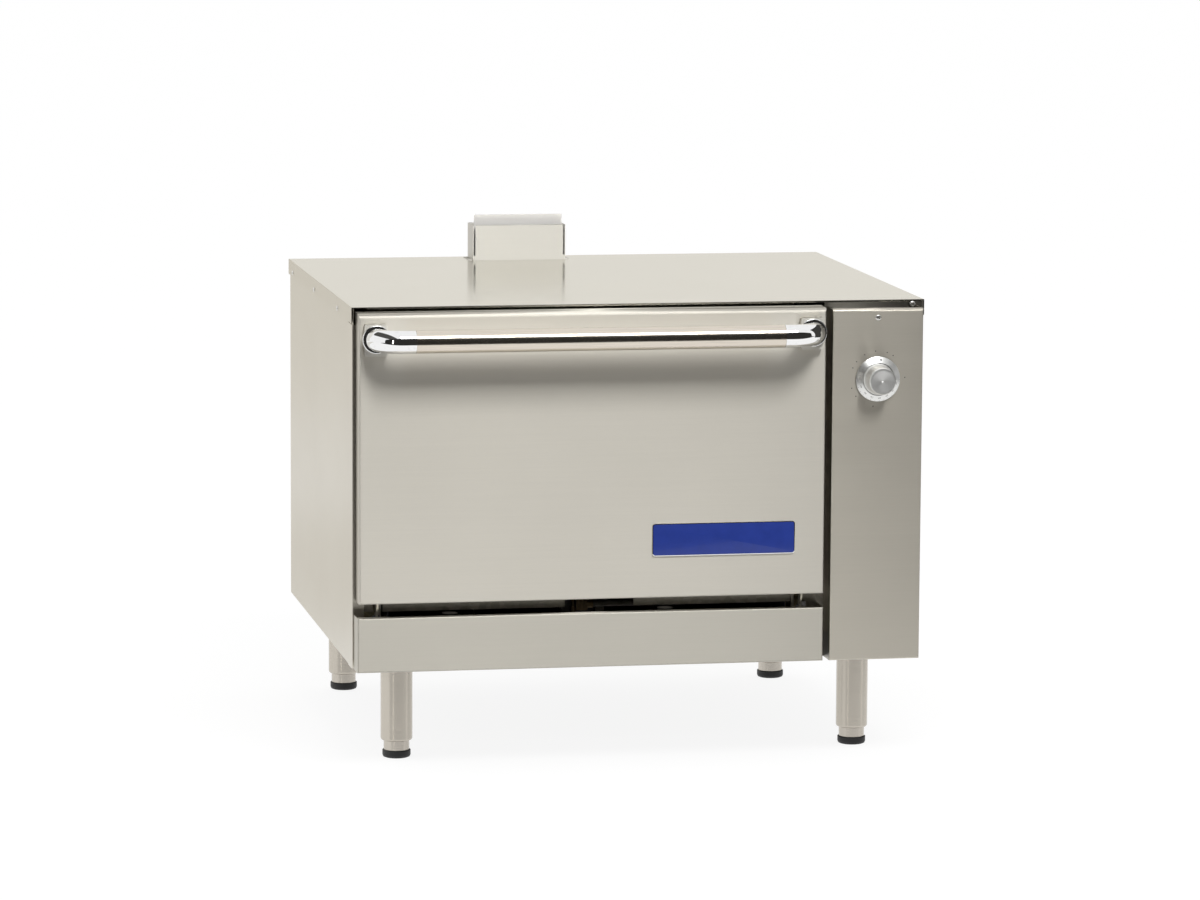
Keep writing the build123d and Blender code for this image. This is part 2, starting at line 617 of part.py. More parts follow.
def flue_riser():
    """Rectangular duct that hangs through the top panel, open above, with feet and a throat to the oven."""
    x = (FLUE_X - FLUE_W / 2, FLUE_X + FLUE_W / 2)
    y = (FLUE_Y, FLUE_Y + FLUE_D)
    z = (UNDER_TOP - FLUE_DEPTH_BELOW, TOP_Z + FLUE_H)
    inside = (x[0] + SHEET, x[1] - SHEET), (y[0] + SHEET, y[1] - SHEET)
    duct = slab(x, y, z) - slab(*inside, (z[0] + SHEET, z[1] + 1))
    duct -= slab(inside[0], (y[0] - 1, y[0] + SHEET + 1), (TOP_Z, z[1] + 1))
    throat_x = (FLUE_X - FLUE_THROAT[0] / 2, FLUE_X + FLUE_THROAT[0] / 2)
    throat_z = (z[0] + 8, z[0] + 8 + FLUE_THROAT[1])
    throat_y = (CAVITY_BACK + LINER_SHEET, FLUE_Y + SHEET)
    duct += slab(throat_x, throat_y, throat_z)
    hollow_x = (throat_x[0] + SHEET, throat_x[1] - SHEET)
    duct -= slab(hollow_x, (throat_y[0] - 1, throat_y[1] + 1), (throat_z[0] + SHEET, throat_z[1] - SHEET))
    foot_z = TOP_Z - FLUE_FOOT_SEAT
    for foot_x, foot_y in flue_feet():
        duct += slab(foot_x, foot_y, (foot_z, foot_z + SHEET))
    return duct


def flue_front_plate():
    """Front of the flue above the top surface, spaced a little inside the side plates."""
    x = (FLUE_X - FLUE_FRONT_W / 2, FLUE_X + FLUE_FRONT_W / 2)
    z = (TOP_Z, TOP_Z + FLUE_H)
    plate = slab(x, (FLUE_Y, FLUE_Y + SHEET), z)
    plate += slab(x, (FLUE_Y, FLUE_Y + 6), (z[1] - SHEET, z[1]))
    foot = (FLUE_Y, FLUE_Y + SHEET)
    return plate + slab((FLUE_X - FLUE_W / 2 + SHEET, FLUE_X + FLUE_W / 2 - SHEET), foot, (TOP_Z, TOP_Z + 8))


def flue_baffle():
    """Taller plate behind the front one that turns the draught, with its lower corners cut."""
    half = FLUE_FRONT_W / 2
    low, high = TOP_Z - 20, TOP_Z + FLUE_BAFFLE_H
    shoulder = TOP_Z + FLUE_H
    cut = FLUE_BAFFLE_CUT
    wide = FLUE_W / 2 - SHEET
    points = [(-wide, low), (wide, low), (wide, shoulder - cut), (half, shoulder), (half, high),
              (-half, high), (-half, shoulder), (-wide, shoulder - cut)]
    face = make_face(Polyline(*[(FLUE_X + x, z) for x, z in points], close=True))
    return in_xz(face, FLUE_Y + FLUE_BAFFLE_SETBACK, SHEET)


def throat_z_span():
    """Height of the flue's throat in the oven's back wall."""
    low = UNDER_TOP - FLUE_DEPTH_BELOW + 8 + SHEET
    return low, low + FLUE_THROAT[1] - 2 * SHEET


def oven_liner():
    """Enamelled box, open at the front and bottom, with rounded seams, deck ledges and flue slots."""
    wall = LINER_SHEET
    y = (FRAME_SHEET, CAVITY_BACK + wall)
    z = (FLOOR_PAN_Z + SEAM, CAVITY_TOP + wall)
    x = (CAVITY_L - wall, CAVITY_R + wall)

    def rounded_box(grow, z_low, y_low):
        radius = LINER_R + grow
        front = rounded((CAVITY_L - grow, z_low), (CAVITY_R + grow, CAVITY_TOP + grow),
                        [((CAVITY_L - grow, CAVITY_TOP + grow), radius), ((CAVITY_R + grow, CAVITY_TOP + grow), radius)])
        plan = rounded((CAVITY_L - grow, y_low), (CAVITY_R + grow, CAVITY_BACK + grow),
                       [((CAVITY_L - grow, CAVITY_BACK + grow), radius), ((CAVITY_R + grow, CAVITY_BACK + grow), radius)])
        depth = CAVITY_BACK + grow - y_low
        return in_xz(front, y_low, depth) & extrude(Pos(0, 0, z_low) * plan, CAVITY_TOP + grow - z_low)

    box = rounded_box(wall, z[0], y[0]) - rounded_box(0, z[0] - 1, y[0] - 1)
    flange = slab((x[0] - LINER_FLANGE, x[1] + LINER_FLANGE), (y[0], y[0] + wall), (DECK_Z - 8, z[1] + LINER_FLANGE))
    flange -= slab((CAVITY_L, CAVITY_R), (y[0] - 1, y[0] + wall + 1), (z[0], CAVITY_TOP))
    box += flange
    ledge_z = (DECK_Z - DECK_T - LEDGE_T, DECK_Z - DECK_T)
    for ledge in ((CAVITY_L - wall / 2, CAVITY_L + LEDGE_W), (CAVITY_R - LEDGE_W, CAVITY_R + wall / 2)):
        box += slab(ledge, (y[0] + 6, CAVITY_BACK - LINER_R), ledge_z)
    low, high = throat_z_span()
    pitch = (FLUE_THROAT[0] - 2 * SHEET) / VENT_SLOTS
    for slot in range(VENT_SLOTS):
        middle = FLUE_X + (slot - (VENT_SLOTS - 1) / 2) * pitch
        half = VENT_SLOT[0] / 2
        box -= slab((middle - half, middle + half), (CAVITY_BACK - 1, CAVITY_BACK + wall + 1), (low + 1, high - 1))
    box -= rod((CAVITY_R - 1, GAS_TUBE_Y, gas_tube_z()), (x[1] + 1, GAS_TUBE_Y, gas_tube_z()), GAS_TUBE_R + 1)
    return box - rod((CAVITY_R - 1, capillary_y(), bulb_z()), (x[1] + 1, capillary_y(), bulb_z()), CAPILLARY_R + 0.3)


def oven_deck():
    """Removable steel deck with heat slots down both sides and a lip at the front."""
    x = (CAVITY_L + 1, CAVITY_R - 1)
    y = (FRAME_SHEET + 8, CAVITY_BACK - LINER_R)
    z = (DECK_Z - DECK_T, DECK_Z)
    deck = slab(x, y, z) + slab((x[0] + LEDGE_W, x[1] - LEDGE_W), (y[0], y[0] + DECK_T), (DECK_Z - DECK_LIP, DECK_Z))
    pitch = (y[1] - y[0]) / DECK_SLOTS
    for row in range(DECK_SLOTS):
        middle = y[0] + (row + 0.5) * pitch
        for edge in (x[0] + 2.5 * LEDGE_W, x[1] - 2.5 * LEDGE_W):
            deck -= slab((edge - DECK_SLOT[1] / 2, edge + DECK_SLOT[1] / 2), (middle - DECK_SLOT[0] / 2, middle + DECK_SLOT[0] / 2), (z[0] - 1, z[1] + 1))
    return deck


def guide_level(level):
    """Height of a ledge of the rack guides, counted from the lowest."""
    return DECK_Z + GUIDE_FIRST + level * GUIDE_PITCH


def rack_guide(side):
    """Pressed side guide with a ledge for the rack at each level."""
    wall = CAVITY_R if side > 0 else CAVITY_L
    y = (GUIDE_FRONT, CAVITY_BACK - LINER_R - GUIDE_BACK_CLEAR)
    z = (DECK_Z + GUIDE_DROP, GUIDE_TOP)
    near = wall - side * SEAM
    guide = slab(sorted((near, near - side * GUIDE_SHEET)), y, z)
    for level in range(GUIDE_LEVELS):
        top = guide_level(level)
        guide += slab(sorted((near, near - side * (GUIDE_SHEET + GUIDE_LEDGE))), y, (top - GUIDE_SHEET, top))
        stop_y = (y[1] - GUIDE_SHEET, y[1])
        guide += slab(sorted((near, near - side * (GUIDE_SHEET + GUIDE_LEDGE))), stop_y, (top - GUIDE_SHEET, top + GUIDE_STOP_H))
    return guide


def rack_span():
    """The rack's outer width as (low, high), its back end and the height of its rim's middle."""
    clear = SEAM + GUIDE_SHEET + 2 * SEAM
    back = CAVITY_BACK - LINER_R - GUIDE_BACK_CLEAR - GUIDE_SHEET - RACK_BACK_GAP
    z = guide_level(RACK_LEVEL) + SEAM + RACK_RIM_R
    return (CAVITY_L + clear, CAVITY_R - clear), back, z


def oven_rack():
    """Wire rack: heavy rim, stays across, wires front to back and a raised bar at the back."""
    (left, right), back, z = rack_span()
    front = FRAME_SHEET + RACK_FRONT
    r = RACK_RIM_R
    corners = [(left + r, front + r, z), (right - r, front + r, z), (right - r, back - r, z), (left + r, back - r, z)]
    rim = [rod(a, b, r) for a, b in zip(corners, corners[1:] + corners[:1])]
    rim += [Pos(*corner) * Sphere(r) for corner in corners]
    for stay in range(RACK_STAYS):
        y = front + (back - front) * (stay + 1) / (RACK_STAYS + 1)
        rim.append(rod((left + r, y, z), (right - r, y, z), RACK_WIRE_R))
    wire_z = z + RACK_RIM_R + RACK_WIRE_R - 1.2
    pitch = (right - left - 2 * r) / (RACK_WIRES + 1)
    for wire in range(RACK_WIRES):
        x = left + r + pitch * (wire + 1)
        rim.append(rod((x, front + r, wire_z), (x, back - r, wire_z), RACK_WIRE_R))
    stop_z = wire_z + RACK_STOP_H
    posts = [left + r + 8, right - r - 8]
    rim += [rod((x, back - r, z), (x, back - r, stop_z), RACK_WIRE_R) for x in posts]
    rim.append(rod((posts[0], back - r, stop_z), (posts[1], back - r, stop_z), RACK_WIRE_R))
    rim += [Pos(x, back - r, stop_z) * Sphere(RACK_WIRE_R) for x in posts]
    return rim[0].fuse(*rim[1:])


def oven_insulation():
    """Blanket over the left side, top and right side of the oven box, and a second one behind it."""
    inner_l, inner_r = CAVITY_L - LINER_SHEET - SEAM, CAVITY_R + LINER_SHEET + SEAM
    inner_top = CAVITY_TOP + LINER_SHEET + SEAM
    z = (BASE_TOP + 4, min(inner_top + INSULATION_T, FRAME_TOP - 2))
    y = (INSULATION_FRONT, CAVITY_BACK - LINER_R)
    wrap = slab((inner_l - INSULATION_T, inner_r + INSULATION_T), y, z)
    wrap -= slab((inner_l, inner_r), (y[0] - 1, y[1] + 1), (z[0] - 1, inner_top))
    line = (inner_r - 1, GAS_TUBE_Y, gas_tube_z())
    wrap -= rod(line, (inner_r + INSULATION_T + 1, GAS_TUBE_Y, gas_tube_z()), GAS_TUBE_R + 1)
    back_y = CAVITY_BACK + LINER_SHEET + SEAM
    back_top = UNDER_TOP - FLUE_DEPTH_BELOW - 3
    rear = slab((inner_l, inner_r), (back_y, back_y + INSULATION_T), (z[0], back_top))
    return wrap, rear


def bulb_z():
    """Height of the thermostat's bulb, below the oven's ceiling."""
    return CAVITY_TOP - LINER_R - BULB_DROP


def capillary_y():
    """Where the capillary passes through the oven's side wall."""
    return INSULATION_FRONT / 2 + FRAME_SHEET


def thermostat_bulb():
    """Bulb along the right wall on two clips, its capillary led forward and out to the thermostat."""
    x = CAVITY_R - BULB_STAND
    z = bulb_z()
    start = CAVITY_D * 0.32
    bulb = rod((x, start, z), (x, start + BULB_L, z), BULB_R)
    route = [(x, start + 1, z), (x, capillary_y(), z), (CONTROL_X - THERMOSTAT[0] / 2 + 10, capillary_y(), z)]
    path = FilletPolyline(*route, radius=CAPILLARY_BEND)
    tube = sweep(Plane(origin=path @ 0, z_dir=path % 0) * Circle(CAPILLARY_R), path)
    clips = [slab((x - BULB_R - 1, CAVITY_R - SEAM), (y - 4, y + 4), (z - 1.5, z + 1.5))
             for y in (start + 30, start + BULB_L - 30)]
    return (bulb + tube).fuse(*clips)


def burner_box_floor():
    """Pan under the burner with a rim and round air inlets."""
    x = (CAVITY_L - LINER_SHEET, CAVITY_R + LINER_SHEET)
    y = (FLOOR_PAN_FRONT, CAVITY_BACK + LINER_SHEET)
    pan = slab(x, y, (BASE_TOP, FLOOR_PAN_Z))
    rim = (x[0] + SHEET + LINER_SHEET, x[1] - SHEET - LINER_SHEET), (y[0], CAVITY_BACK - LINER_R)
    pan += slab(*rim, (BASE_TOP, BASE_TOP + FLOOR_PAN_RIM))
    pan -= slab((rim[0][0] + SHEET, rim[0][1] - SHEET), (rim[1][0] - 1, rim[1][1] - SHEET), (FLOOR_PAN_Z, BASE_TOP + 100))
    pitch = (y[1] - y[0]) / (AIR_HOLES + 1)
    for side in (-1, 1):
        for hole in range(AIR_HOLES):
            centre = (DOOR_X + side * CAVITY_W * 0.28, y[0] + pitch * (hole + 1))
            pan -= rod((*centre, BASE_TOP - 1), (*centre, FLOOR_PAN_Z + 1), AIR_HOLE_R)
    return pan


def windows(y_low, y_high, radius):
    """Two facing wedges that open the air windows of the burner's bell and its shutter."""
    half = math.radians(WINDOW_DEG / 2)
    cuts = []
    for side in (-1, 1):
        far = (side * radius * math.cos(half), radius * math.sin(half))
        face = make_face(Polyline((0, 0), far, (far[0], -far[1]), close=True))
        cuts.append(Pos(DOOR_X, 0, BURNER_Z) * in_xz(face, y_low, y_high - y_low))
    return cuts


def burner():
    """Cast burner: bell with air windows, throat, ported tube, and feet on the floor pan."""
    wall = BURNER_WALL
    length = BURNER_BACK - BURNER_FRONT
    gas_hole = ORIFICE_R * 0.5
    outer = [(0, 0), (BELL_R, 0), (BELL_R, BELL_L), (THROAT_R + wall, BELL_L * 2.2),
             (THROAT_R + wall, BELL_L * 2.8), (BURNER_R, THROAT_L), (BURNER_R, length), (0, length)]
    bore = [(0, -1), (gas_hole, -1), (gas_hole, wall), (BELL_R - wall, wall), (BELL_R - wall, BELL_L), (THROAT_R, BELL_L * 2.2),
            (THROAT_R, BELL_L * 2.8), (BURNER_R - wall, THROAT_L), (BURNER_R - wall, length - wall), (0, length - wall)]
    body = turned(outer, DOOR_X, BURNER_FRONT, BURNER_Z) - turned(bore, DOOR_X, BURNER_FRONT, BURNER_Z)
    body -= windows(BURNER_FRONT + wall, BURNER_FRONT + BELL_L - wall, 2 * BELL_R)
    first = BURNER_FRONT + THROAT_L + PORT_PITCH
    for port in range(PORTS):
        y = first + port * PORT_PITCH
        slot = slab((DOOR_X - BURNER_R, DOOR_X + BURNER_R), (y, y + 3), (BURNER_Z + BURNER_R * 0.45, BURNER_Z + BURNER_R * 0.7))
        body -= slot
    for y in (BURNER_FRONT + THROAT_L + 6, BURNER_BACK - 30):
        foot = slab((DOOR_X - 8, DOOR_X + 8), (y, y + 6), (FLOOR_PAN_Z, BURNER_Z - BURNER_R + wall))
        body += foot + slab((DOOR_X - 18, DOOR_X + 18), (y, y + 6), (FLOOR_PAN_Z, FLOOR_PAN_Z + 4))
    return body


def air_shutter():
    """Ring that turns on the burner's bell to open or close its air windows."""
    inner = BELL_R + RUNNING
    start = BURNER_FRONT + (BELL_L - SHUTTER_L) / 2
    ring = turned([(inner, 0), (inner + SHUTTER_WALL, 0), (inner + SHUTTER_WALL, SHUTTER_L), (inner, SHUTTER_L)],
                  DOOR_X, start, BURNER_Z)
    return ring - windows(start + 3, start + SHUTTER_L - 3, 2 * BELL_R)


def gas_tube_z():
    """Height of the gas tube that crosses under the front of the oven."""
    return BURNER_Z


def orifice_fitting():
    """Brass hex elbow that holds the gas jet in front of the burner's bell."""
    front = GAS_TUBE_Y
    hexagon = Pos(DOOR_X, 0) * Rot(0, 0, 90) * RegularPolygon(ORIFICE_R * 1.15, 6)
    body = Pos(0, front, gas_tube_z()) * extrude(hexagon, 2 * ORIFICE_R, both=False)
    body = Pos(0, 0, -ORIFICE_R) * body
    nozzle = rod((DOOR_X, front, gas_tube_z()), (DOOR_X, BURNER_FRONT - SEAM, gas_tube_z()), ORIFICE_R * 0.55)
    arm = rod((DOOR_X, front, gas_tube_z()), (DOOR_X + 2 * ORIFICE_R, front, gas_tube_z()), GAS_TUBE_R + 2)
    return body + nozzle + arm - rod((DOOR_X + ORIFICE_R, front, gas_tube_z()), (DOOR_X + 3 * ORIFICE_R, front, gas_tube_z()), GAS_TUBE_R + RUNNING)


def valve_x():
    """Left end of the safety valve, inside the control compartment."""
    return PARTITION_R + 30


def burner_supply_tube():
    """Straight tube from the safety valve to the burner's jet."""
    start = (DOOR_X + ORIFICE_R + 1, GAS_TUBE_Y, gas_tube_z())
    end = (valve_x() - SEAM, GAS_TUBE_Y, gas_tube_z())
    return rod(start, end, GAS_TUBE_R) - rod(start, end, GAS_TUBE_R - 1)


def pilot_burner():
    """Pilot bracket in the lighting notch: foot, upright and two spread wings under a hooded jet."""
    x = DOOR_X + NOTCH_OFFSET + 14
    y = FLOOR_PAN_FRONT + 6
    base = slab((x - 14, x + 14), (y, y + 40), (FLOOR_PAN_Z, FLOOR_PAN_Z + 1.5))
    post = slab((x - 7, x + 7), (y, y + 1.5), (FLOOR_PAN_Z, BURNER_Z + 14))
    jet = rod((x, y + 8, BURNER_Z - 12), (x, y + 8, BURNER_Z + 18), 4)
    arm = slab((x - 3, x + 3), (y, y + 8), (BURNER_Z - 6, BURNER_Z - 2))
    wings = []
    for side in (-1, 1):
        points = [(x + side * 5, BURNER_Z - 8), (x + side * 20, BURNER_Z + 14), (x + side * 12, BURNER_Z + 14), (x, BURNER_Z - 2)]
        wings.append(in_xz(make_face(Polyline(*points, close=True)), y, 1.5))
    return (base + post + jet + arm).fuse(*wings)


def thermocouple():
    """Flame probe on its own foot beside the pilot."""
    x = DOOR_X + NOTCH_OFFSET - 26
    y = FLOOR_PAN_FRONT + 12
    foot = slab((x - 9, x + 9), (y, y + 24), (FLOOR_PAN_Z, FLOOR_PAN_Z + 1.5))
    return foot + rod((x, y + 12, FLOOR_PAN_Z), (x, y + 12, BURNER_Z + 4), 3) + rod((x, y + 12, BURNER_Z - 20), (x, y + 12, BURNER_Z - 8), 5)


def burner_baffle():
    """Folded heat spreader over the burner, on four legs."""
    half, flat = BAFFLE_W / 2, BAFFLE_FLAT / 2
    low = BAFFLE_Z - BAFFLE_FALL
    t = BAFFLE_SHEET
    points = [(-half, low), (-flat, BAFFLE_Z), (flat, BAFFLE_Z), (half, low),
              (half, low + t), (flat, BAFFLE_Z + t), (-flat, BAFFLE_Z + t), (-half, low + t)]
    face = make_face(Polyline(*[(DOOR_X + x, z) for x, z in points], close=True))
    y = (BURNER_FRONT + THROAT_L - 10, BURNER_BACK + 10)
    plate = in_xz(face, y[0], y[1] - y[0])
    for x in (DOOR_X - half, DOOR_X + half - t):
        for leg_y in (y[0], y[1] - 20):
            plate += slab((x, x + t), (leg_y, leg_y + 20), (FLOOR_PAN_Z, low + t / 2))
    return plate


def thermostat_body():
    """Thermostat casting behind its bracket, with a neck for the shaft and two gas ports."""
    w, d, h = THERMOSTAT
    y = THERMOSTAT_Y
    shaft = SHAFT_R + RUNNING
    body = slab((CONTROL_X - w / 2, CONTROL_X + w / 2), (y, y + d), (KNOB_Z - h / 2, KNOB_Z + h / 2))
    body = chamfer(body.edges().filter_by(Axis.Y), 8)
    body += rod((CONTROL_X, y - THERMOSTAT_NECK_L, KNOB_Z), (CONTROL_X, y + 1, KNOB_Z), THERMOSTAT_NECK_R)
    body += rod((CONTROL_X, y + d / 2, KNOB_Z - h / 2 - 12), (CONTROL_X, y + d / 2, KNOB_Z - h / 2 + 1), 11)
    body += rod((CONTROL_X, y + d, KNOB_Z - h / 4), (CONTROL_X, y + d + 12, KNOB_Z - h / 4), INLET_R - INLET_WALL)
    left = CONTROL_X - w / 2
    capillary = rod((left - 1, capillary_y(), bulb_z()), (left + 12, capillary_y(), bulb_z()), CAPILLARY_R + RUNNING)
    return body - capillary - rod((CONTROL_X, y - 20, KNOB_Z), (CONTROL_X, y + d * 0.6, KNOB_Z), shaft)


def thermostat_shaft():
    """Turning shaft with a flat, from inside the thermostat out to the knob."""
    start = THERMOSTAT_Y + THERMOSTAT[1] * 0.6 - 1
    end = -PROUD - KNOB_GAP - KNOB_SKIRT_T - KNOB_GRIP_L * KNOB_BORE_SHARE
    shaft = rod((CONTROL_X, start, KNOB_Z), (CONTROL_X, end, KNOB_Z), SHAFT_R)
    flat = slab((CONTROL_X - SHAFT_R, CONTROL_X + SHAFT_R), (end - 1, -PROUD + 2), (KNOB_Z + SHAFT_R - SHAFT_FLAT, KNOB_Z + SHAFT_R + 1))
    return shaft - flat


def knob_part(profile, seat):
    """Turn a profile of (radius, height in front of the seat) round the knob's axis."""
    return turned([(radius, -height) for radius, height in profile], CONTROL_X, seat, KNOB_Z)


def knob_dial():
    """Pressed dial: a flat under the grip, a shallow cone out to its edge, and a hub round the shaft."""
    edge, wall, rise = KNOB_SKIRT_D / 2, KNOB_SKIRT_WALL, KNOB_SKIRT_T
    flat = KNOB_GRIP_BASE_D / 2 + KNOB_SKIRT_FLAT
    bore = SHAFT_R + KNOB_BORE_CLEAR
    hub = SHAFT_R + KNOB_HUB_WALL
    profile = [(bore, 0), (hub, 0), (hub, rise - wall), (flat - wall, rise - wall), (edge - wall, 0),
               (edge, 0), (edge, wall), (flat, rise), (bore, rise)]
    return knob_part(profile, -PROUD - KNOB_GAP)


def knob_grip():
    """Tapered grip with a ring at its base and a dished face, hollow behind round its hub."""
    base, tip, length = KNOB_GRIP_BASE_D / 2, KNOB_GRIP_FRONT_D / 2, KNOB_GRIP_L
    bore = SHAFT_R + KNOB_BORE_CLEAR
    hub = SHAFT_R + KNOB_HUB_WALL
    depth = length * KNOB_BORE_SHARE + SEAM
    ring, lip = KNOB_GRIP_RING, KNOB_GRIP_LIP
    profile = [(bore, 0), (hub, 0), (hub, depth), (tip - 2 * lip, depth), (base - lip, 0), (base, 0), (base, ring),
               (base - lip / 2, ring + lip / 2), (tip + lip / 4, length - lip), (tip - lip / 2, length),
               (tip - 2 * lip, length), (0, length - KNOB_DISH), (0, depth), (bore, depth)]
    return knob_part(profile, -PROUD - KNOB_GAP - KNOB_SKIRT_T)


def safety_valve():
    """Pilot safety valve in the control compartment, with ports for the tubes and the button's bore."""
    w, d, h = VALVE
    x = valve_x()
    y = (GAS_TUBE_Y - d / 2, GAS_TUBE_Y + d / 2)
    z = gas_tube_z()
    body = slab((x, x + w), y, (z - h / 2, z + h / 2))
    body = chamfer(body.edges().filter_by(Axis.Z), 6)
    body += rod((x + w / 2, y[0] - 4, z), (x + w / 2, y[0] + 1, z), BUTTON_R + 4)
    body -= rod((x + w / 2, y[0] - 6, z), (x + w / 2, y[0] + BUTTON_L, z), BUTTON_R + RUNNING)
    body += slab((x + 6, x + w - 6), (y[0] + 6, y[1] - 6), (BASE_TOP + SEAM, z - h / 2 + 1))
    return body


def safety_valve_button():
    """Reset button of the safety valve, with a bevelled face."""
    w, d, _ = VALVE
    y = GAS_TUBE_Y - d / 2
    x, z = valve_x() + w / 2, gas_tube_z()
    button = rod((x, y + BUTTON_L - BUTTON_TRAVEL - 1, z), (x, y - 4 - BUTTON_TRAVEL - 3, z), BUTTON_R)
    tip = button.edges().sort_by(Axis.Y)[0]
    return chamfer(tip, BUTTON_CHAMFER)


def gas_inlet_pipe():
    """Steel pipe from the rear connection forward and up to the thermostat, with its lock nut."""
    end = THERMOSTAT_Y + THERMOSTAT[1] + 12 + SEAM
    rise = KNOB_Z - THERMOSTAT[2] / 4
    turn = end + INLET_TURN
    route = [(INLET_X, BODY_D + INLET_STICKOUT, INLET_Z), (INLET_X, turn, INLET_Z),
             (CONTROL_X, turn, rise), (CONTROL_X, end, rise)]
    path = FilletPolyline(*route, radius=INLET_BEND)
    ends = Plane(origin=path @ 0, z_dir=path % 0)
    nut_y = back_y()[1] + SEAM
    nut = in_xz(Pos(INLET_X, INLET_Z) * RegularPolygon(INLET_NUT_AF / 2, 6, major_radius=False), nut_y, INLET_NUT_H)
    return sweep(ends * Circle(INLET_R), path) + nut - sweep(ends * Circle(INLET_R - INLET_WALL), path)


def valve_feed_tube():
    """Bent tube from the thermostat's outlet down to the safety valve."""
    w, d, h = VALVE
    start = (CONTROL_X, THERMOSTAT_Y + THERMOSTAT[1] / 2, KNOB_Z - THERMOSTAT[2] / 2 - 12 - SEAM)
    valve_top = gas_tube_z() + h / 2 + SEAM
    middle = (start[2] + valve_top) / 2
    end = (valve_x() + w / 2, GAS_TUBE_Y + d / 5, valve_top)
    route = [start, (start[0], start[1], middle + FEED_SHIFT), (end[0], end[1], middle - FEED_SHIFT), end]
    path = FilletPolyline(*route, radius=FEED_BEND)
    ends = Plane(origin=path @ 0, z_dir=path % 0)
    return sweep(ends * Circle(GAS_TUBE_R + 1.5), path) - sweep(ends * Circle(GAS_TUBE_R), path)


def lever_middle(hinge_x, side):
    """Middle of the lever plate along x."""
    return hinge_x + side * (HORN_T / 2 + HINGE_PLATE_GAP + HINGE_PLATE_T / 2)


def lever_tip():
    """The spring hole of the shut door's lever, as (y, z)."""
    angle = math.radians(LEVER_ANGLE)
    return HINGE_Y + LEVER_L * math.cos(angle), HINGE_Z - LEVER_L * math.sin(angle)


def spring_line():
    """The spring's line as (y, height of its upper hook's ring)."""
    y, z = lever_tip()
    return y, z + LEVER_HOLE_R - 2 * SPRING_WIRE_R - SEAM - HOOK_R + SPRING_WIRE_R


def spring_foot_z():
    """Top of the tab that the spring's lower end is screwed to."""
    return BASE_Z + SPRING_TAB_RISE + SPRING_TAB_T


def hinge_horn(hinge_x):
    """Upright plate welded to the base frame, with a nose that carries the door's pin."""
    z_low = BASE_Z + SHEET + SEAM + BASE_T
    top = HINGE_Z + HORN_NOSE_R
    neck = HINGE_Z - HORN_NOSE_R
    points = [(HINGE_Y, neck), (HORN_FRONT - 6, neck), (HORN_FRONT, neck - 8), (HORN_FRONT, z_low), (HORN_BACK, z_low),
              (HORN_BACK, neck), (HORN_BACK - 14, top), (HINGE_Y, top)]
    face = make_face(Polyline(*points, close=True)) + Pos(HINGE_Y, HINGE_Z) * Circle(HORN_NOSE_R)
    face -= Pos(HINGE_Y, HINGE_Z) * Circle(PIN_R + RUNNING)
    return in_yz(face, hinge_x - HORN_T / 2, HORN_T)


def hinge_lever(hinge_x, side):
    """Door-side hinge: a channel whose two cheeks hold the pin, the outer one drawn out into the lever."""
    front = -PROUD + SHEET + SEAM
    cheek = HORN_T / 2 + HINGE_PLATE_GAP
    top = HINGE_Z + CHEEK_H
    low = DOOR_Z + 2 * SHEET + 2 * SEAM
    back = HINGE_Y + CHEEK_R
    plate = rounded((front, low), (back, top), [((back, top), 6)])
    plate = plate + Pos(HINGE_Y, HINGE_Z) * Circle(CHEEK_R) & Pos((front + back) / 2, (low + top) / 2) * Rectangle(back - front, top - low)
    tip_y, tip_z = lever_tip()
    arm = Pos((HINGE_Y + tip_y) / 2, (HINGE_Z + tip_z) / 2) * Rot(0, 0, -LEVER_ANGLE) * Rectangle(LEVER_L, LEVER_W)
    lever = plate + arm + Pos(tip_y, tip_z) * Circle(LEVER_W / 2) + Pos(HINGE_Y, HINGE_Z) * Circle(CHEEK_R)
    hole = Pos(HINGE_Y, HINGE_Z) * Circle(PIN_R)
    lever = lever - hole - Pos(tip_y, tip_z) * Circle(LEVER_HOLE_R)
    outer = hinge_x + side * cheek
    inner = hinge_x - side * cheek
    outer_x = sorted((outer, outer + side * HINGE_PLATE_T))
    inner_x = sorted((inner, inner - side * HINGE_PLATE_T))
    web_low = HINGE_Z + HORN_NOSE_R + SLOT_CLEAR
    web = slab((min(outer_x + inner_x), max(outer_x + inner_x)), (front, front + HINGE_PLATE_T), (web_low, top))
    return in_yz(lever, outer_x[0], HINGE_PLATE_T) + in_yz(plate - hole, inner_x[0], HINGE_PLATE_T) + web


def hinge_pin(hinge_x, side):
    """Headed pin through the channel's cheeks and the horn."""
    cheek = HORN_T / 2 + HINGE_PLATE_GAP + HINGE_PLATE_T
    start = (hinge_x - side * (cheek + 1), HINGE_Y, HINGE_Z)
    end = (hinge_x + side * cheek, HINGE_Y, HINGE_Z)
    head = (hinge_x + side * (cheek + 3), HINGE_Y, HINGE_Z)
    return rod(start, end, PIN_R) + rod(end, head, PIN_R + 2.5)


